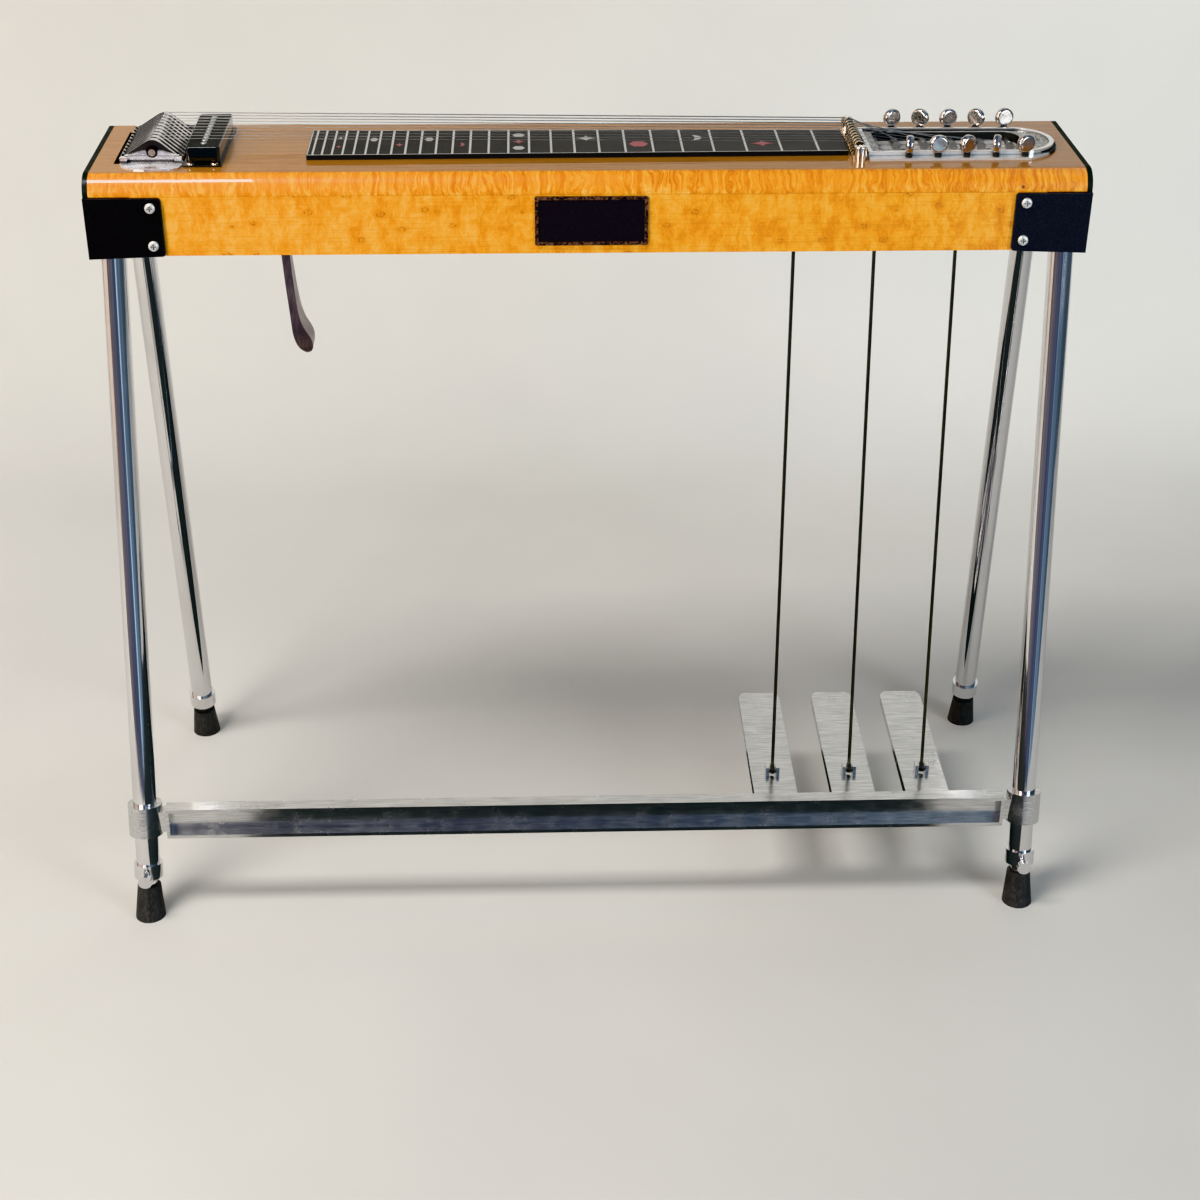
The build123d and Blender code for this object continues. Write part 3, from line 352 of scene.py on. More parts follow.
def hammered(name):
    """Hammered casting: polished rim, sides and flange, mottled panel and pan floor; painted light makes the pan
    floor and lower walls pale, and painted shade makes the upper pan walls and the panel's far strip black and
    darkens recesses.
    """
    m = Mat(name)
    v = m.voronoi(m.scaled(300, 300, 120), 1.0)
    n = m.noise(m.scaled(560), 1.0, 4.0, 0.65, 0.8)
    x, y, z = m.xyz()
    up = m.step(m.facing(), 0.6, 0.85)
    panel = m.math("MULTIPLY", up, m.math("MULTIPLY", m.step(z, OZ + 0.0036, OZ + 0.0040), m.step(z, OZ + 0.0044, OZ + 0.0048, 1.0, 0.0)))
    floor = m.step(z, OZ - 0.0078, OZ - 0.0070, 1.0, 0.0)
    floor = m.math("MULTIPLY", up, floor)
    # painted shade: the upper pan walls, and below, the far strip of the panel, are painted black
    deep = m.math("MULTIPLY", m.math("MULTIPLY", m.step(z, OZ - 0.0050, OZ - 0.0042), m.step(z, OZ + 0.0030, OZ + 0.0040, 1.0, 0.0)), m.math("MULTIPLY", m.step(y, OY + 0.0485, OY + 0.0495), m.step(y, OY + 0.1115, OY + 0.1125, 1.0, 0.0)))
    deep = m.math("MULTIPLY", deep, m.math("SUBTRACT", 1.0, floor))
    rear = m.math("MULTIPLY", panel, m.math("MULTIPLY", m.step(y, OY + 0.1070, OY + 0.1080), m.step(x, OX + 0.384, OX + 0.392, 1.0, 0.0)))
    rough_part = m.math("MAXIMUM", panel, floor)
    plain = m.mix(m.step(n, 0.42, 0.66, 0.0, 0.35), (0.80, 0.79, 0.77), (0.50, 0.49, 0.47))
    mott = m.mix(m.step(n, 0.38, 0.64), (0.20, 0.195, 0.185), (0.66, 0.65, 0.62))
    mott = m.mix(m.step(v, 0.2, 0.7, 0.30, 0.0), mott, (0.15, 0.15, 0.15))
    col = m.mix(rough_part, plain, mott)
    # painted light: the pan floor and the lower pan walls are painted pale, as if lit from above
    low_wall = m.math("MULTIPLY", m.step(z, OZ - 0.0050, OZ - 0.0042, 1.0, 0.0), m.math("SUBTRACT", 1.0, floor))
    col = m.mix(m.math("MAXIMUM", m.math("MULTIPLY", floor, 0.65), m.math("MULTIPLY", low_wall, 0.8)), col, (0.88, 0.85, 0.81))
    # painted shade: recesses are darkened, except on the pan floor
    painted_recess_shade = m.recess_shade(0.0028)
    col = m.mix(m.math("MULTIPLY", painted_recess_shade, m.math("MULTIPLY", m.math("SUBTRACT", 1.0, floor), 0.85)), col, (0.03, 0.03, 0.03))
    black = m.math("MAXIMUM", deep, rear)
    col = m.mix(black, col, (0.008, 0.009, 0.008))
    metal = m.step(black, 0.2, 0.8, 1.0, 0.0)
    metal = m.math("MULTIPLY", metal, m.math("SUBTRACT", 1.0, m.math("MULTIPLY", floor, 0.85)))
    metal = m.math("MULTIPLY", metal, m.math("MULTIPLY_ADD", rough_part, 0.35, 0.60))
    m.set(base=col, metal=metal, rough=m.math("ADD", m.math("MULTIPLY", black, 0.5), m.math("ADD", 0.11, m.math("MULTIPLY", rough_part, m.step(n, 0.3, 0.7, 0.10, 0.30)))))
    h = m.math("MULTIPLY", m.math("ADD", v, m.math("MULTIPLY", n, 0.6)), m.math("ADD", 0.08, rough_part))
    m.set(normal=m.bump(h, 0.45, 0.0008))
    return m.m


def changer_plate(name):
    """Side plates: bright satin metal, with painted light on the upward faces and painted shade in the joints, round
    and above the axle, in recesses and below the deck's top.
    """
    m = Mat(name)
    n = m.noise(m.scaled(90, 300, 300), 1.0, 3.0, 0.6, 0.3)
    c = m.noise(m.scaled(70), 1.0, 3.0)
    x, y, z = m.xyz()
    up = m.step(m.facing(), 0.6, 0.9)
    col = m.mix(m.step(n, 0.38, 0.70), (0.93, 0.90, 0.905), (0.60, 0.575, 0.585))
    # painted light: upward faces are painted paler
    col = m.mix(m.math("MULTIPLY", up, 0.8), col, (0.97, 0.94, 0.92))
    # painted shade: a dark ring round the axle and a dark band above its boss
    c0 = S(-375.2, 0, 9.9)
    q = m.n("VectorMath", operation="DISTANCE")
    m.put(q.inputs[0], m.vec(x, 0.0, z))
    q.inputs[1].default_value = (c0.x, 0.0, c0.z)
    r = q.outputs["Value"]
    axle_ring_shade = m.math("MULTIPLY", m.step(r, 0.0046, 0.0050, 1.0, 0.0), 0.95)
    above_axle_shade = m.math("MULTIPLY", m.step(r, 0.0054, 0.0056, 1.0, 0.0), m.step(z, OZ + 0.0108, OZ + 0.0114))
    col = m.mix(m.math("MAXIMUM", axle_ring_shade, above_axle_shade), col, (0.035, 0.032, 0.032))
    # painted shade in recesses
    col = m.mix(m.math("MULTIPLY", m.recess_shade(0.0036, 0.40, 0.78), 0.75), col, (0.06, 0.052, 0.052))
    front = m.math("SUBTRACT", 1.0, m.step(m.facing(), 0.3, 0.6))
    # painted shade: a dark line where the bar meets the foot, and a grey band under the lip, on the front faces
    joint_shade = m.math("MULTIPLY", front, m.math("MULTIPLY", m.step(z, OZ + 0.0013, OZ + 0.0016), m.step(z, OZ + 0.0034, OZ + 0.0038, 1.0, 0.0)))
    col = m.mix(m.math("MULTIPLY", joint_shade, 0.86), col, (0.05, 0.045, 0.045))
    lip_shade = m.math("MULTIPLY", front, m.math("MULTIPLY", m.step(z, OZ + 0.0063, OZ + 0.0066), m.step(z, OZ + 0.0072, OZ + 0.0075, 1.0, 0.0)))
    col = m.mix(m.math("MULTIPLY", lip_shade, 0.45), col, (0.16, 0.15, 0.15))
    # painted shade: darker below the deck's top
    below_deck_shade = m.step(z, OZ - 0.0015, OZ - 0.0003, 1.0, 0.0)
    col = m.mix(below_deck_shade, col, (0.10, 0.10, 0.10))
    m.set(base=col, metal=m.step(c, 0.35, 0.65, 0.65, 0.85), rough=m.step(n, 0.3, 0.7, 0.14, 0.26), normal=m.bump(c, 0.25, 0.0012))
    return m.m


def finger_steel(name, y0, pitch):
    """Polished fingers, bright metal along the string; towards the gaps and on the side faces they are painted near
    black, and the left cheeks a darker grey, both painted shade.
    """
    m = Mat(name)
    x, y, z = m.xyz()
    g = m.n("NewGeometry").outputs["Normal"]
    ny = m.math("ABSOLUTE", m.xyz(g)[1])
    side = m.step(ny, 0.5, 0.8)
    fr = m.math("FRACT", m.math("MULTIPLY", m.math("SUBTRACT", y, y0 - pitch / 2 - 10 * pitch), 1.0 / pitch))
    t = m.math("MULTIPLY", m.math("ABSOLUTE", m.math("SUBTRACT", fr, 0.5)), 2.0)
    n = m.noise(m.scaled(420), 1.0, 3.0, 0.6)
    t = m.math("ADD", t, m.math("MULTIPLY", m.math("SUBTRACT", n, 0.5), 0.12))
    crown = m.step(z, OZ + 0.0150, OZ + 0.0188)
    # painted shade: the left cheeks get a darker grey
    left = m.step(x, OX - 0.3815, OX - 0.3770, 1.0, 0.0)
    edge = m.math("MULTIPLY_ADD", crown, 0.30, 0.34)
    # painted shade: only a band along each string stays bright metal, the rest and the side faces are painted near
    # black
    lit = m.math("MULTIPLY", m.math("LESS_THAN", t, 2.0), m.step(m.math("SUBTRACT", t, edge), -0.05, 0.10, 1.0, 0.0))
    lit = m.math("MULTIPLY", lit, m.math("SUBTRACT", 1.0, side))
    bright = m.mix(left, (0.84, 0.81, 0.82), (0.62, 0.62, 0.60))
    col = m.mix(lit, (0.028, 0.026, 0.026), bright)
    arm = m.step(z, OZ - 0.004, OZ - 0.001, 1.0, 0.0)
    col = m.mix(arm, col, (0.30, 0.30, 0.30))
    m.set(base=col, metal=m.math("MAXIMUM", lit, m.math("MULTIPLY", arm, 0.9)), spec=0.10,
          rough=m.math("ADD", m.math("MULTIPLY", left, 0.14), m.step(n, 0.3, 0.7, 0.16, 0.28)), normal=m.bump(n, 0.12, 0.0004))
    return m.m


def roller_metal(name, y0, pitch):
    """Nickelled rollers worn to brass, with pale rims; the groove and the gaps are painted dark, a painted shade."""
    m = Mat(name)
    x, y, z = m.xyz()
    fr = m.math("FRACT", m.math("MULTIPLY", m.math("SUBTRACT", y, y0 - pitch / 2 - 10 * pitch), 1.0 / pitch))
    t = m.math("MULTIPLY", m.math("ABSOLUTE", m.math("SUBTRACT", fr, 0.5)), 2.0)
    n = m.noise(m.scaled(600), 1.0, 3.0, 0.6)
    # painted shade: away from the rims, in the groove and the gaps, the rollers are painted near black
    rim = m.step(t, 0.42, 0.52, 1.0, 0.0)
    col = m.mix(rim, (0.020, 0.013, 0.008), (0.93, 0.82, 0.64))
    col = m.mix(m.math("MULTIPLY", m.step(n, 0.4, 0.65), m.math("MULTIPLY", rim, 0.35)), col, (0.42, 0.28, 0.13))
    m.set(base=col, metal=m.math("MULTIPLY", rim, 0.75), rough=0.24, spec=0.05)
    return m.m


def axle_steel(name):
    """Steel axle with a dark ring round its end, a painted shade."""
    m = Mat(name)
    x, y, z = m.xyz()
    c = S(-375.2, 0, 9.9)
    q = m.n("VectorMath", operation="DISTANCE")
    m.put(q.inputs[0], m.vec(x, 0.0, z))
    q.inputs[1].default_value = (c.x, 0.0, c.z)
    n = m.noise(m.scaled(700), 1.0, 3.0)
    col = m.mix(m.step(n, 0.35, 0.65), (0.36, 0.25, 0.20), (0.60, 0.50, 0.44))
    # painted shade: a dark ring round the axle's end
    col = m.mix(m.step(q.outputs["Value"], 0.0028, 0.0034), col, (0.012, 0.010, 0.010))
    m.set(base=col, metal=0.85, rough=0.32, normal=m.bump(n, 0.3, 0.0004))
    return m.m


def paint_noise(name):
    """Charcoal printed fretboard with a soft speckle."""
    m = Mat(name)
    n = m.noise(m.scaled(430), 1.0, 3.0, 0.7)
    c = m.noise(m.scaled(24, 60, 60), 1.0, 3.0, 0.6)
    col = m.mix(m.step(n, 0.36, 0.66), (0.015, 0.0145, 0.0135), (0.056, 0.053, 0.048))
    col = m.mix(m.step(c, 0.35, 0.75, 0.0, 0.45), col, (0.048, 0.045, 0.041))
    x, y, z = m.xyz()
    col = m.mix(m.step(x, -0.20, 0.22, 0.0, 0.40), col, (0.105, 0.10, 0.092))
    side = m.step(z, OZ + 0.0040, OZ + 0.0044, 1.0, 0.0)
    col = m.mix(side, col, (0.012, 0.013, 0.014))
    m.set(base=col, rough=m.step(n, 0.3, 0.7, 0.5, 0.62), spec=0.13, normal=m.bump(n, 0.15, 0.0003))
    return m.m


def metal_satin(name, tint, rough=0.28, brushed=(900, 60, 900), dark=0.7):
    m = Mat(name)
    n = m.noise(m.scaled(*brushed), 1.0, 3.0, 0.6)
    c = m.noise(m.scaled(60), 1.0, 3.0)
    col = m.mix(m.step(n, 0.35, 0.7), tuple(v * dark for v in tint), tint)
    col = m.mix(m.step(c, 0.5, 0.8, 0.0, 0.4), col, tuple(v * 0.7 for v in tint))
    m.set(base=col, metal=1.0, rough=m.step(c, 0.3, 0.8, rough, rough + 0.12), normal=m.bump(n, 0.12, 0.0003))
    return m.m


def screw_metal(name, tint):
    m = Mat(name)
    n = m.noise(m.scaled(700), 1.0, 3.0)
    e = m.edges(0.0006, 0.02, 0.3)
    col = m.mix(m.step(n, 0.4, 0.7), tint, tuple(v * 0.72 for v in tint))
    # painted highlight: the rims of the heads are painted paler
    col = m.mix(m.math("MULTIPLY", e, 0.25), col, (0.9, 0.9, 0.86))
    # painted shade: the cross recesses are painted dark
    col = m.mix(m.math("MULTIPLY", m.recess_shade(0.0014, 0.45, 0.80), 0.95), col, (0.012, 0.012, 0.011))
    m.set(base=col, metal=0.62, rough=0.34)
    m.set(normal=m.bump(n, 0.2, 0.0003))
    return m.m


def badge(name):
    m = Mat(name)
    x, y, z = m.xyz()
    wear = m.noise(m.scaled(420, 200, 420), 1.0, 4.0, 0.6, 0.6)
    slow = m.noise(m.scaled(60), 1.0, 2.0)
    raised = m.step(y, OY - 0.00185, OY - 0.00165, 1.0, 0.0)
    e = m.edges(0.0008, 0.02, 0.25)
    col = m.mix(m.step(wear, 0.5, 0.75, 0.0, 0.3), (0.013, 0.0105, 0.0105), (0.032, 0.027, 0.026))
    w = m.math("MULTIPLY", raised, m.step(m.math("ADD", wear, m.math("MULTIPLY", slow, 0.3)), 0.58, 0.74))
    bronze = (0.24, 0.12, 0.07)
    col = m.mix(m.math("MULTIPLY", w, 0.6), col, bronze)
    ew = m.math("MULTIPLY", e, m.step(m.noise(m.scaled(90, 60, 160, off=(4, 4, 4)), 1.0, 3.0), 0.38, 0.60, 0.25, 1.0))
    col = m.mix(m.math("MULTIPLY", ew, 0.38), col, bronze)
    m.set(base=col, rough=0.26, spec=0.35, coat=0.25, coat_rough=0.06, metal=m.math("MULTIPLY", ew, 0.7))
    return m.m


def gloss_black(name, rough=0.09, smudge=0.2):
    m = Mat(name)
    n = m.noise(m.scaled(55), 1.0, 4.0, 0.6)
    col = m.mix(m.step(n, 0.4, 0.8, 0.0, smudge), (0.0045, 0.0055, 0.0045), (0.022, 0.024, 0.020))
    up = m.step(m.facing(), 0.9, 0.99)
    m.set(base=col, rough=m.math("ADD", m.math("MULTIPLY", up, 0.22), m.step(n, 0.35, 0.8, rough, rough + 0.12)), spec=m.math("MULTIPLY_ADD", up, -0.25, 0.30),
          coat=m.step(m.facing(), 0.9, 0.99, 0.6, 0.0), coat_rough=0.04)
    return m.m


def pickup_plate(name):
    """Gloss black base plate; the heads of its screws are bare copper-coloured metal."""
    m = Mat(name)
    z = m.xyz()[2]
    n = m.noise(m.scaled(90), 1.0, 4.0, 0.6)
    head = m.step(z, OZ + 0.00155, OZ + 0.0017)
    col = m.mix(m.step(n, 0.4, 0.8, 0.0, 0.3), (0.005, 0.006, 0.005), (0.03, 0.03, 0.028))
    e = m.edges(0.0008, 0.03, 0.3)
    # painted highlight: the edges are painted paler
    col = m.mix(m.math("MULTIPLY", e, 0.5), col, (0.22, 0.20, 0.17))
    metal = m.mix(m.step(n, 0.4, 0.6), (0.72, 0.46, 0.33), (0.80, 0.70, 0.62))
    # painted shade: recesses in the screw heads are painted dark
    metal = m.mix(m.math("MULTIPLY", m.recess_shade(0.0008, 0.45, 0.8), 0.9), metal, (0.05, 0.03, 0.02))
    m.set(base=m.mix(head, col, metal), metal=head, rough=m.step(n, 0.35, 0.8, 0.14, 0.28), spec=0.3)
    return m.m


def button(name):
    """Chrome button on a black ferrule."""
    m = Mat(name)
    z = m.xyz()[2]
    c = m.noise(m.scaled(75), 1.0, 4.0, 0.6)
    fine = m.noise(m.scaled(900), 1.0, 3.0, 0.6)
    tint = (0.74, 0.70, 0.66)
    col = m.mix(m.step(c, 0.42, 0.68, 0.0, 0.75), tint, (0.34, 0.27, 0.235))
    pit = m.step(m.voronoi(m.scaled(520), 1.0), 0.05, 0.12, 1.0, 0.0)
    col = m.mix(m.math("MULTIPLY", pit, m.step(m.noise(m.scaled(60, 60, 60, off=(2, 4, 1)), 1.0, 3.0), 0.5, 0.62, 0.0, 0.6)), col, (0.16, 0.11, 0.07))
    fer = m.step(z, OZ + 0.0054, OZ + 0.0059, 1.0, 0.0)
    col = m.mix(fer, col, (0.010, 0.009, 0.008))
    m.set(base=col, metal=m.math("SUBTRACT", 1.0, fer), rough=m.math("ADD", m.math("MULTIPLY", fer, 0.35), m.step(c, 0.35, 0.65, 0.09, 0.26)))
    m.set(normal=m.bump(m.math("ADD", m.math("MULTIPLY", c, 0.8), m.math("MULTIPLY", fine, 0.1)), 0.45, 0.0012))
    return m.m


def legs(name, top=-1.0):
    """Polished tube; below top it is the rubber foot."""
    m = Mat(name)
    x, y, z = m.xyz()
    c = m.noise(m.scaled(26, 26, 9), 1.0, 4.0, 0.6)
    fine = m.noise(m.scaled(500, 500, 160), 1.0, 3.0, 0.6)
    col = m.mix(m.step(c, 0.45, 0.8, 0.0, 0.4), (0.73, 0.725, 0.73), (0.55, 0.54, 0.53))
    p = m.step(m.voronoi(m.scaled(260, 260, 200), 1.0), 0.04, 0.10, 1.0, 0.0)
    lets = m.step(m.noise(m.scaled(12, 12, 7, off=(2, 4, 1)), 1.0, 3.0), 0.54, 0.64)
    col = m.mix(m.math("MULTIPLY", p, m.math("MULTIPLY", lets, 0.6)), col, (0.20, 0.14, 0.09))
    foot = m.step(z, top - 0.00035, top + 0.00035, 1.0, 0.0)
    rub = m.mix(m.step(fine, 0.4, 0.7), (0.012, 0.012, 0.012), (0.035, 0.034, 0.032))
    col = m.mix(foot, col, rub)
    rough = m.math("ADD", m.step(c, 0.4, 0.8, 0.05, 0.16), m.math("MULTIPLY", fine, 0.03))
    m.set(base=col, metal=m.math("SUBTRACT", 1.0, foot), rough=m.math("MULTIPLY_ADD", foot, 0.5, rough))
    m.set(normal=m.bump(m.math("ADD", m.math("MULTIPLY", c, 0.5), m.math("MULTIPLY", fine, 0.1)), 0.10, 0.0006))
    return m.m


def flat_paint(name, col, rough=0.45, metal=0.0, grain=0.15):
    m = Mat(name)
    n = m.noise(m.scaled(800), 1.0, 3.0)
    c = m.mix(m.step(n, 0.35, 0.7, 0.0, grain * 2), col, tuple(v * 0.6 for v in col))
    m.set(base=c, rough=rough, metal=metal)
    return m.m


MAT = {
    "maple": maple("maple_deck", 1),
    "maple_apron": maple("maple_apron", 0),
    "end_plate": lacquer_black("end_plate_black"),
    "crinkle": crinkle("bracket_black"),
    "screws": screw_metal("screw_zinc", (0.86, 0.84, 0.78)),
    "badge": badge("badge_black"),
    "board": paint_noise("fretboard_charcoal"),
    "chrome": chrome("chrome_small", (0.80, 0.79, 0.78)),
    "changer": changer_plate("changer_casting"),
    "fingers": finger_steel("finger_chrome", OY + 0.085 - 4.5 * 0.00873, 0.00873),
    "axle": axle_steel("axle_steel"),
    "button": button("button_chrome"),
    "nut": chrome("nut_chrome", (0.80, 0.74, 0.68), 0.10, 0.12),
    "roller": roller_metal("roller_nickel", OY + 0.083 - 4.5 * 0.0078, 0.0078),
    "keyhead": hammered("keyhead_casting"),
    "housing": metal_satin("tuner_case", (0.5, 0.5, 0.48), 0.35),
    "string": metal_satin("string_steel", (0.46, 0.45, 0.43), 0.30, (3000, 3000, 3000)),
    "pickup": gloss_black("pickup_gloss"),
    "pickup_base": pickup_plate("pickup_plate_black"),
    "pole": metal_satin("pole_steel", (0.55, 0.56, 0.52), 0.30, (900, 900, 900)),
    "post": metal_satin("post_steel", (0.62, 0.60, 0.58), 0.30, (900, 900, 900)),
    "shaft": metal_satin("shaft_steel", (0.55, 0.55, 0.54), 0.25),
    "rod": metal_satin("rod_dark_steel", (0.10, 0.10, 0.075), 0.30, (500, 500, 40)),
    "alu": metal_satin("aluminium_polished", (0.74, 0.74, 0.74), 0.18, (40, 900, 900)),
    "lever": metal_satin("lever_bronzed", (0.30, 0.235, 0.235), 0.30, (600, 600, 60)),
    "leg": legs("leg_chrome"),
    "fret": flat_paint("fret_silver", (0.62, 0.62, 0.58), 0.3, 0.6),
    "motif_pale": flat_paint("motif_silver", (0.42, 0.42, 0.38), 0.4, 0.2),
    "motif_red": flat_paint("motif_oxblood", (0.30, 0.075, 0.075), 0.4),
}
ASSIGN = {
    "deck_board": "maple", "front_apron": "maple_apron", "rear_apron": "maple_apron", "end_plate_left": "end_plate", "end_plate_right": "end_plate",
    "corner_brackets": "crinkle", "cabinet_screws": "screws", "badge_plate": "badge", "fretboard": "board", "nut_frame": "nut", "nut_rollers": "roller",
    "keyhead": "keyhead", "tuner_housings": "housing", "tuner_posts": "post", "pickup_plate": "pickup_base", "pickup_cover": "pickup", "pickup_poles": "pole",
    "changer_frame": "changer", "changer_axle": "axle", "fingers_fixed": "fingers", "strings": "string", "shaft_brackets": "alu", "leg_tubes": "leg",
    "leg_collars": "leg", "pedal_bar": "alu", "pedal_bar_clamps": "alu", "pedal_shaft": "shaft", "output_jack": "chrome", "knee_lever": "lever",
}
for name, o in NODES.items():
    key = ASSIGN.get(name)
    if key is None:
        if name.startswith("tuner_button"):
            key = "button"
        elif name.startswith("lower_leg"):
            key = "leg"
        elif name.startswith("pedal_rod"):
            key = "rod"
        elif name.startswith("pedal_"):
            key = "alu"
        elif name.startswith("fingers"):
            key = "fingers"
        else:
            key = "shaft"
    o.data.materials.clear()
    if name.startswith("lower_leg"):
        # the foot stays on the lowest 35 mm wherever the leg is slid to
        o.data.materials.append(legs("chrome_" + name, min(v.co.z for v in o.data.vertices) + 0.0349))
    else:
        o.data.materials.append(MAT[key])


# ------------------------------------------------------------------
# made pieces
# ------------------------------------------------------------------
def mesh_piece(name, verts, faces, mat, body="cabinet", slot=None, smooth=False):
    me = bpy.data.meshes.new(name)
    me.from_pydata([tuple(v) for v in verts], [], faces)
    me.validate()
    me.update()
    bm = bmesh.new()
    bm.from_mesh(me)
    bmesh.ops.recalc_face_normals(bm, faces=bm.faces)
    bm.to_mesh(me)
    bm.free()
    for p in me.polygons:
        p.use_smooth = smooth
    o = bpy.data.objects.new(name, me)
    bpy.context.scene.collection.objects.link(o)
    o.data.materials.append(MAT[mat] if isinstance(mat, str) else mat)
    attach(o, body)
    return o


def plate(outline, z0, z1):
    """Vertices and faces of a flat closed plate with this outline, in the drawing's mm."""
    n = len(outline)
    vs = [S(x, y, z0) for x, y in outline] + [S(x, y, z1) for x, y in outline]
    fs = [tuple(range(n - 1, -1, -1)), tuple(range(n, 2 * n))]
    fs += [(i, (i + 1) % n, (i + 1) % n + n, i + n) for i in range(n)]
    return vs, fs


def merge(parts):
    vs, fs = [], []
    for v, f in parts:
        k = len(vs)
        vs += v
        fs += [tuple(i + k for i in q) for q in f]
    return vs, fs


X_NUT, SCALE, FB_T = 234.4, 609.6, 4.5
FB_X0, FB_X1 = -244.5, 226.0


def fret_x(n):
    return X_NUT - SCALE * (1 - 2 ** (-n / 12.0))


def near_y(x):
    return 45.2 + (x - FB_X0) / (FB_X1 - FB_X0) * 5.0


def far_y(x):
    return 119.4 - (x - FB_X0) / (FB_X1 - FB_X0) * 5.2


bars = []
for n in range(1, 27):
    x = fret_x(n)
    hw = 0.95 if n < 20 else 0.85
    bars.append(plate([(x - hw, near_y(x) + 1.0), (x + hw, near_y(x) + 1.0), (x + hw, far_y(x) - 0.2), (x - hw, far_y(x) - 0.2)], FB_T, FB_T + 0.12))
frets = mesh_piece("fret_lines", *merge(bars), "fret", slot="chrome")
edge = plate([(FB_X0 + 0.3, near_y(FB_X0) + 0.15), (FB_X1 - 0.3, near_y(FB_X1) + 0.15), (FB_X1 - 0.3, near_y(FB_X1) + 1.0), (FB_X0 + 0.3, near_y(FB_X0) + 1.0)], FB_T, FB_T + 0.10)
edge2 = plate([(FB_X0 + 0.3, far_y(FB_X0) - 0.9), (FB_X1 - 0.3, far_y(FB_X1) - 0.9), (FB_X1 - 0.3, far_y(FB_X1) - 0.2), (FB_X0 + 0.3, far_y(FB_X0) - 0.2)], FB_T, FB_T + 0.10)
edge3 = plate([(FB_X0 + 0.2, near_y(FB_X0) + 0.3), (FB_X0 + 1.0, near_y(FB_X0) + 0.3), (FB_X0 + 1.0, far_y(FB_X0) - 0.3), (FB_X0 + 0.2, far_y(FB_X0) - 0.3)], FB_T, FB_T + 0.10)
mesh_piece("fretboard_border", *merge([edge, edge2, edge3]), "fret", slot="chrome")


# position marks: hexagons, crescents and four-pointed leaves, placed off the middle line
def hexagon(cx, cy, w, h):
    return [(cx + w / 2 * math.cos(math.radians(a)), cy + h / 2 * math.sin(math.radians(a)) / math.sin(math.radians(60))) for a in range(0, 360, 60)]


def leaf4(cx, cy, w, h, n=10):
    pts = []
    for q in range(4):
        for k in range(n):
            a = math.pi / 2 * (q + k / n)
            r = 1.0 / (abs(math.cos(a)) ** 0.62 + abs(math.sin(a)) ** 0.62) ** (1 / 0.62)
            pts.append((cx + w / 2 * r * math.cos(a), cy + h / 2 * r * math.sin(a)))
    return pts


def crescent(cx, cy, w, h, n=14):
    out = [(cx + w / 2 * math.sin(math.pi * k / n), cy - h / 2 * math.cos(math.pi * k / n)) for k in range(n + 1)]
    inn = [(cx + w * 0.18 * math.sin(math.pi * k / n), cy - h / 2 * math.cos(math.pi * k / n)) for k in range(n - 1, 0, -1)]
    return [(x - w * 0.22, y) for x, y in out + inn]


marks = {"motif_pale": [], "motif_red": []}


def mark(n, dy, w, h, shape, col):
    cx = (fret_x(n) + fret_x(n - 1)) / 2
    cy = (near_y(cx) + far_y(cx)) / 2 + dy
    marks[col].append(plate(shape(cx, cy, w, h), FB_T, FB_T + 0.08))


mark(3, -9, 22, 17, leaf4, "motif_red")
mark(5, 9, 19, 16, crescent, "motif_pale")
mark(7, -9, 17, 15, hexagon, "motif_red")
mark(9, 9, 18, 16, leaf4, "motif_pale")
mark(12, 19, 11, 10, hexagon, "motif_pale")
mark(12, 0, 12, 11, leaf4, "motif_red")
mark(12, -19, 11, 10, hexagon, "motif_pale")
mark(15, -8, 9, 11, crescent, "motif_red")
mark(17, 8, 8, 10, hexagon, "motif_pale")
mark(19, -8, 8, 10, leaf4, "motif_red")
mark(21, 8, 7, 10, hexagon, "motif_pale")
mark(24, 13, 5, 8, leaf4, "motif_pale")
mark(24, -13, 5, 8, leaf4, "motif_red")
mesh_piece("position_marks_pale", *merge(marks["motif_pale"]), "motif_pale", slot="chrome")
mesh_piece("position_marks_red", *merge(marks["motif_red"]), "motif_red", slot="chrome")


# ------------------------------------------------------------------
# studio
# ------------------------------------------------------------------
def clear_from_behind(m):
    """Leaves the surface as it is from its front, and lets it be looked through from its back."""
    tr, mx = m.n("BsdfTransparent"), m.n("MixShader")
    m.t.links.new(m.n("NewGeometry").outputs["Backfacing"], mx.inputs[0])
    m.t.links.new(m.b.outputs[0], mx.inputs[1])
    m.t.links.new(tr.outputs[0], mx.inputs[2])
    m.t.links.new(mx.outputs[0], m.out.inputs[0])


def stage_material(name, col, rough=0.9, grain=0.04, scale=3.0):
    m = Mat(name)
    n = m.noise(m.scaled(scale), 1.0, 3.0, 0.5)
    c = m.mix(m.step(n, 0.3, 0.7), tuple(v * (1 - grain) for v in col), col)
    x, y, z = m.xyz()
    rise = m.step(y, 0.2, 1.2)
    c = m.mix(rise, m.mix(1.0, c, (0.91, 0.905, 0.905), "MULTIPLY"), c)
    # painted light: the wall glows, more towards the right
    glow = m.math("MULTIPLY", rise, m.step(x, -0.3, 0.9, 0.0, 0.20))
    m.set(base=c, rough=rough, spec=0.15)
    m.put(m.b.inputs["Emission Color"], (0.98, 1.0, 0.955))
    m.put(m.b.inputs["Emission Strength"], glow)
    clear_from_behind(m)
    return m.m


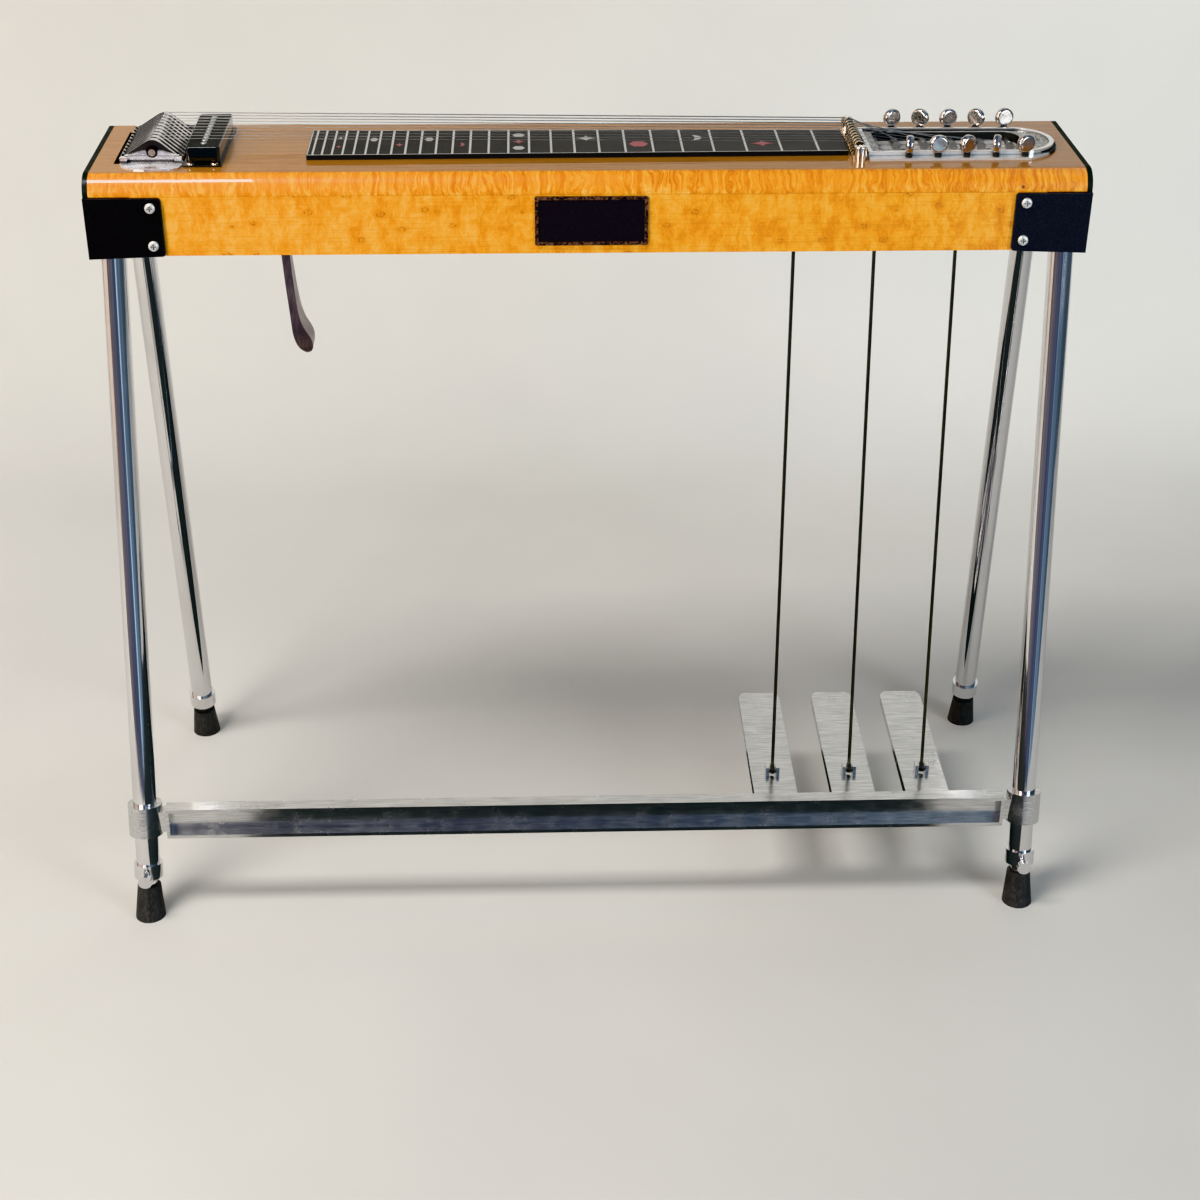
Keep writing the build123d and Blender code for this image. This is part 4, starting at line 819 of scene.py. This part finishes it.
def sweep():
    """Floor running up into the wall in one curve."""
    prof = [(-0.66, 0.0), (0.55, 0.0)]
    r, y0 = 0.55, 0.75
    for k in range(0, 17):
        a = math.pi / 2 * k / 16
        prof.append((y0 + r * math.sin(a), r - r * math.cos(a)))
    prof.append((y0 + r, 1.95))
    vs, fs = [], []
    for x in (-2.3, 2.3):
        vs += [(x, y, z) for y, z in prof]
    n = len(prof)
    fs = [(i, i + n, i + 1 + n, i + 1) for i in range(n - 1)]
    me = bpy.data.meshes.new("studio_sweep")
    me.from_pydata(vs, [], fs)
    for p in me.polygons:
        p.use_smooth = True
    o = bpy.data.objects.new("studio_sweep", me)
    bpy.context.scene.collection.objects.link(o)
    o.data.materials.append(stage_material("sweep_paper", (0.630, 0.615, 0.568)))
    return o


sweep()


def panel(name, centre, size, target, col, strength=0.0):
    """A flat card facing target, lit by itself when strength is above 0."""
    d = (Vector(target) - Vector(centre)).normalized()
    q = d.to_track_quat("Z", "Y")
    w, h = size[0] / 2, size[1] / 2
    vs = [Vector(centre) + q @ Vector((a * w, b * h, 0)) for a, b in ((-1, -1), (1, -1), (1, 1), (-1, 1))]
    me = bpy.data.meshes.new(name)
    me.from_pydata([tuple(v) for v in vs], [], [(0, 1, 2, 3)])
    o = bpy.data.objects.new(name, me)
    bpy.context.scene.collection.objects.link(o)
    m = Mat(name + "_m")
    m.set(base=col, rough=0.9)
    if strength:
        m.put(m.b.inputs["Emission Color"], col)
        m.put(m.b.inputs["Emission Strength"], strength)
    clear_from_behind(m)
    o.data.materials.append(m.m)
    return o


def area(name, loc, target, size, power, col=(1, 1, 1), along=None):
    l = bpy.data.lights.new(name, "AREA")
    l.shape = "RECTANGLE"
    l.size, l.size_y = size
    l.energy = power
    l.color = col
    o = bpy.data.objects.new(name, l)
    bpy.context.scene.collection.objects.link(o)
    o.location = loc
    d = (Vector(target) - Vector(loc)).normalized()
    if along is None:
        o.rotation_euler = d.to_track_quat("-Z", "Y").to_euler()
    else:
        zc = -d
        xc = (Vector(along) - zc * zc.dot(Vector(along))).normalized()
        o.rotation_euler = Matrix((xc, zc.cross(xc), zc)).transposed().to_euler()
    return o


world = bpy.data.worlds.new("room")
bpy.context.scene.world = world
world.use_nodes = True
wt = world.node_tree
wt.nodes.clear()


def wn(kind, **props):
    q = wt.nodes.new("ShaderNode" + kind)
    for k, v in props.items():
        setattr(q, k, v)
    return q


# a dim blue-grey room in front, greyer to the left, with one bright window to the right of the middle
w_out, w_bg = wn("OutputWorld"), wn("Background")
wt.links.new(w_bg.outputs[0], w_out.inputs[0])
w_co = wn("TexCoord")
w_xyz = wn("SeparateXYZ")
wt.links.new(w_co.outputs["Generated"], w_xyz.inputs[0])
w_ramp = wn("ValToRGB")
w_off = wn("Math", operation="MULTIPLY_ADD")
wt.links.new(w_xyz.outputs[0], w_off.inputs[0])
w_off.inputs[1].default_value = 0.5
w_off.inputs[2].default_value = 0.5
wt.links.new(w_off.outputs[0], w_ramp.inputs[0])
stops = [(0.0, (0.20, 0.17, 0.17)), (0.16, (0.19, 0.175, 0.20)), (0.34, (0.125, 0.13, 0.19)), (0.50, (0.10, 0.12, 0.19)), (0.585, (0.13, 0.19, 0.29)),
         (0.62, (0.42, 0.55, 0.70)), (0.64, (0.95, 1.15, 1.30)), (0.66, (0.40, 0.53, 0.68)), (0.72, (0.21, 0.30, 0.42)), (0.84, (0.13, 0.19, 0.27)), (1.0, (0.10, 0.13, 0.16))]
el = w_ramp.color_ramp.elements
while len(el) < len(stops):
    el.new(0.5)
for e, (p, c) in zip(el, stops):
    e.position = p
    e.color = (*c, 1.0)
w_noise = wn("TexNoise")
wt.links.new(w_co.outputs["Generated"], w_noise.inputs["Vector"])
w_noise.inputs["Scale"].default_value = 5.5
w_noise.inputs["Detail"].default_value = 3.0
w_var = wn("MapRange")
wt.links.new(w_noise.outputs["Fac"], w_var.inputs["Value"])
w_var.inputs["From Min"].default_value = 0.3
w_var.inputs["From Max"].default_value = 0.7
w_var.inputs["To Min"].default_value = 0.55
w_var.inputs["To Max"].default_value = 1.35
wt.links.new(w_ramp.outputs[0], w_bg.inputs[0])
wt.links.new(w_var.outputs[0], w_bg.inputs[1])

# a black flag lying in front, seen by the chrome alone: it gives the rear legs their dark streak
fme = bpy.data.meshes.new("flag_front")
fme.from_pydata([(-0.34, -0.75, 0.004), (0.36, -0.75, 0.004), (0.36, 0.10, 0.004), (-0.34, 0.10, 0.004)], [], [(0, 1, 2, 3)])
flag = bpy.data.objects.new("flag_front", fme)
bpy.context.scene.collection.objects.link(flag)
fm = Mat("flag_front_m")
fm.set(base=(0.03, 0.036, 0.036), rough=0.9, spec=0.1)
flag.data.materials.append(fm.m)
flag.visible_camera = False
flag.visible_diffuse = False
flag.visible_shadow = False

area("key_left", (-2.05, -2.55, 1.40), (0.0, 0.25, 0.60), (1.3, 0.9), 71, (1.0, 0.93, 0.85))
area("fill_right", (2.2, -2.2, 1.20), (0.0, 0.25, 0.55), (1.0, 1.0), 42, (0.88, 0.95, 1.0))
area("strip_over", (-1.08, -0.66, 2.42), (-1.0, -0.15, 0.7), (1.15, 0.50), 46, (1.0, 0.98, 0.95), along=(1, 0, 0))
panel("card_left", (-2.35, -0.15, 0.95), (1.9, 2.7), (0.0, -0.15, 0.95), (0.66, 0.52, 0.43), 0.52)

# ------------------------------------------------------------------
# camera
# ------------------------------------------------------------------
YAW, PITCH, ROLL = math.radians(2.1469), math.radians(28.628), math.radians(0.3263)
F_PX = 2171.01
fwd = Vector((math.sin(YAW) * math.cos(PITCH), math.cos(YAW) * math.cos(PITCH), -math.sin(PITCH)))
right = Vector((math.cos(YAW), -math.sin(YAW), 0))
up = right.cross(fwd)
r2 = right * math.cos(ROLL) + up * math.sin(ROLL)
u2 = up * math.cos(ROLL) - right * math.sin(ROLL)
cam_data = bpy.data.cameras.new("camera")
cam_data.sensor_fit = "HORIZONTAL"
cam_data.sensor_width = 36.0
cam_data.lens = F_PX / 1200.0 * 36.0
cam_data.clip_start = 0.05
cam = bpy.data.objects.new("camera", cam_data)
bpy.context.scene.collection.objects.link(cam)
M = Matrix((r2, u2, -fwd)).transposed().to_4x4()
M.translation = S(-57.58, -1788.71, 565.93)
cam.matrix_world = M
bpy.context.scene.camera = cam
bpy.context.scene.view_settings.view_transform = "Khronos PBR Neutral"

bpy.context.view_layer.update()
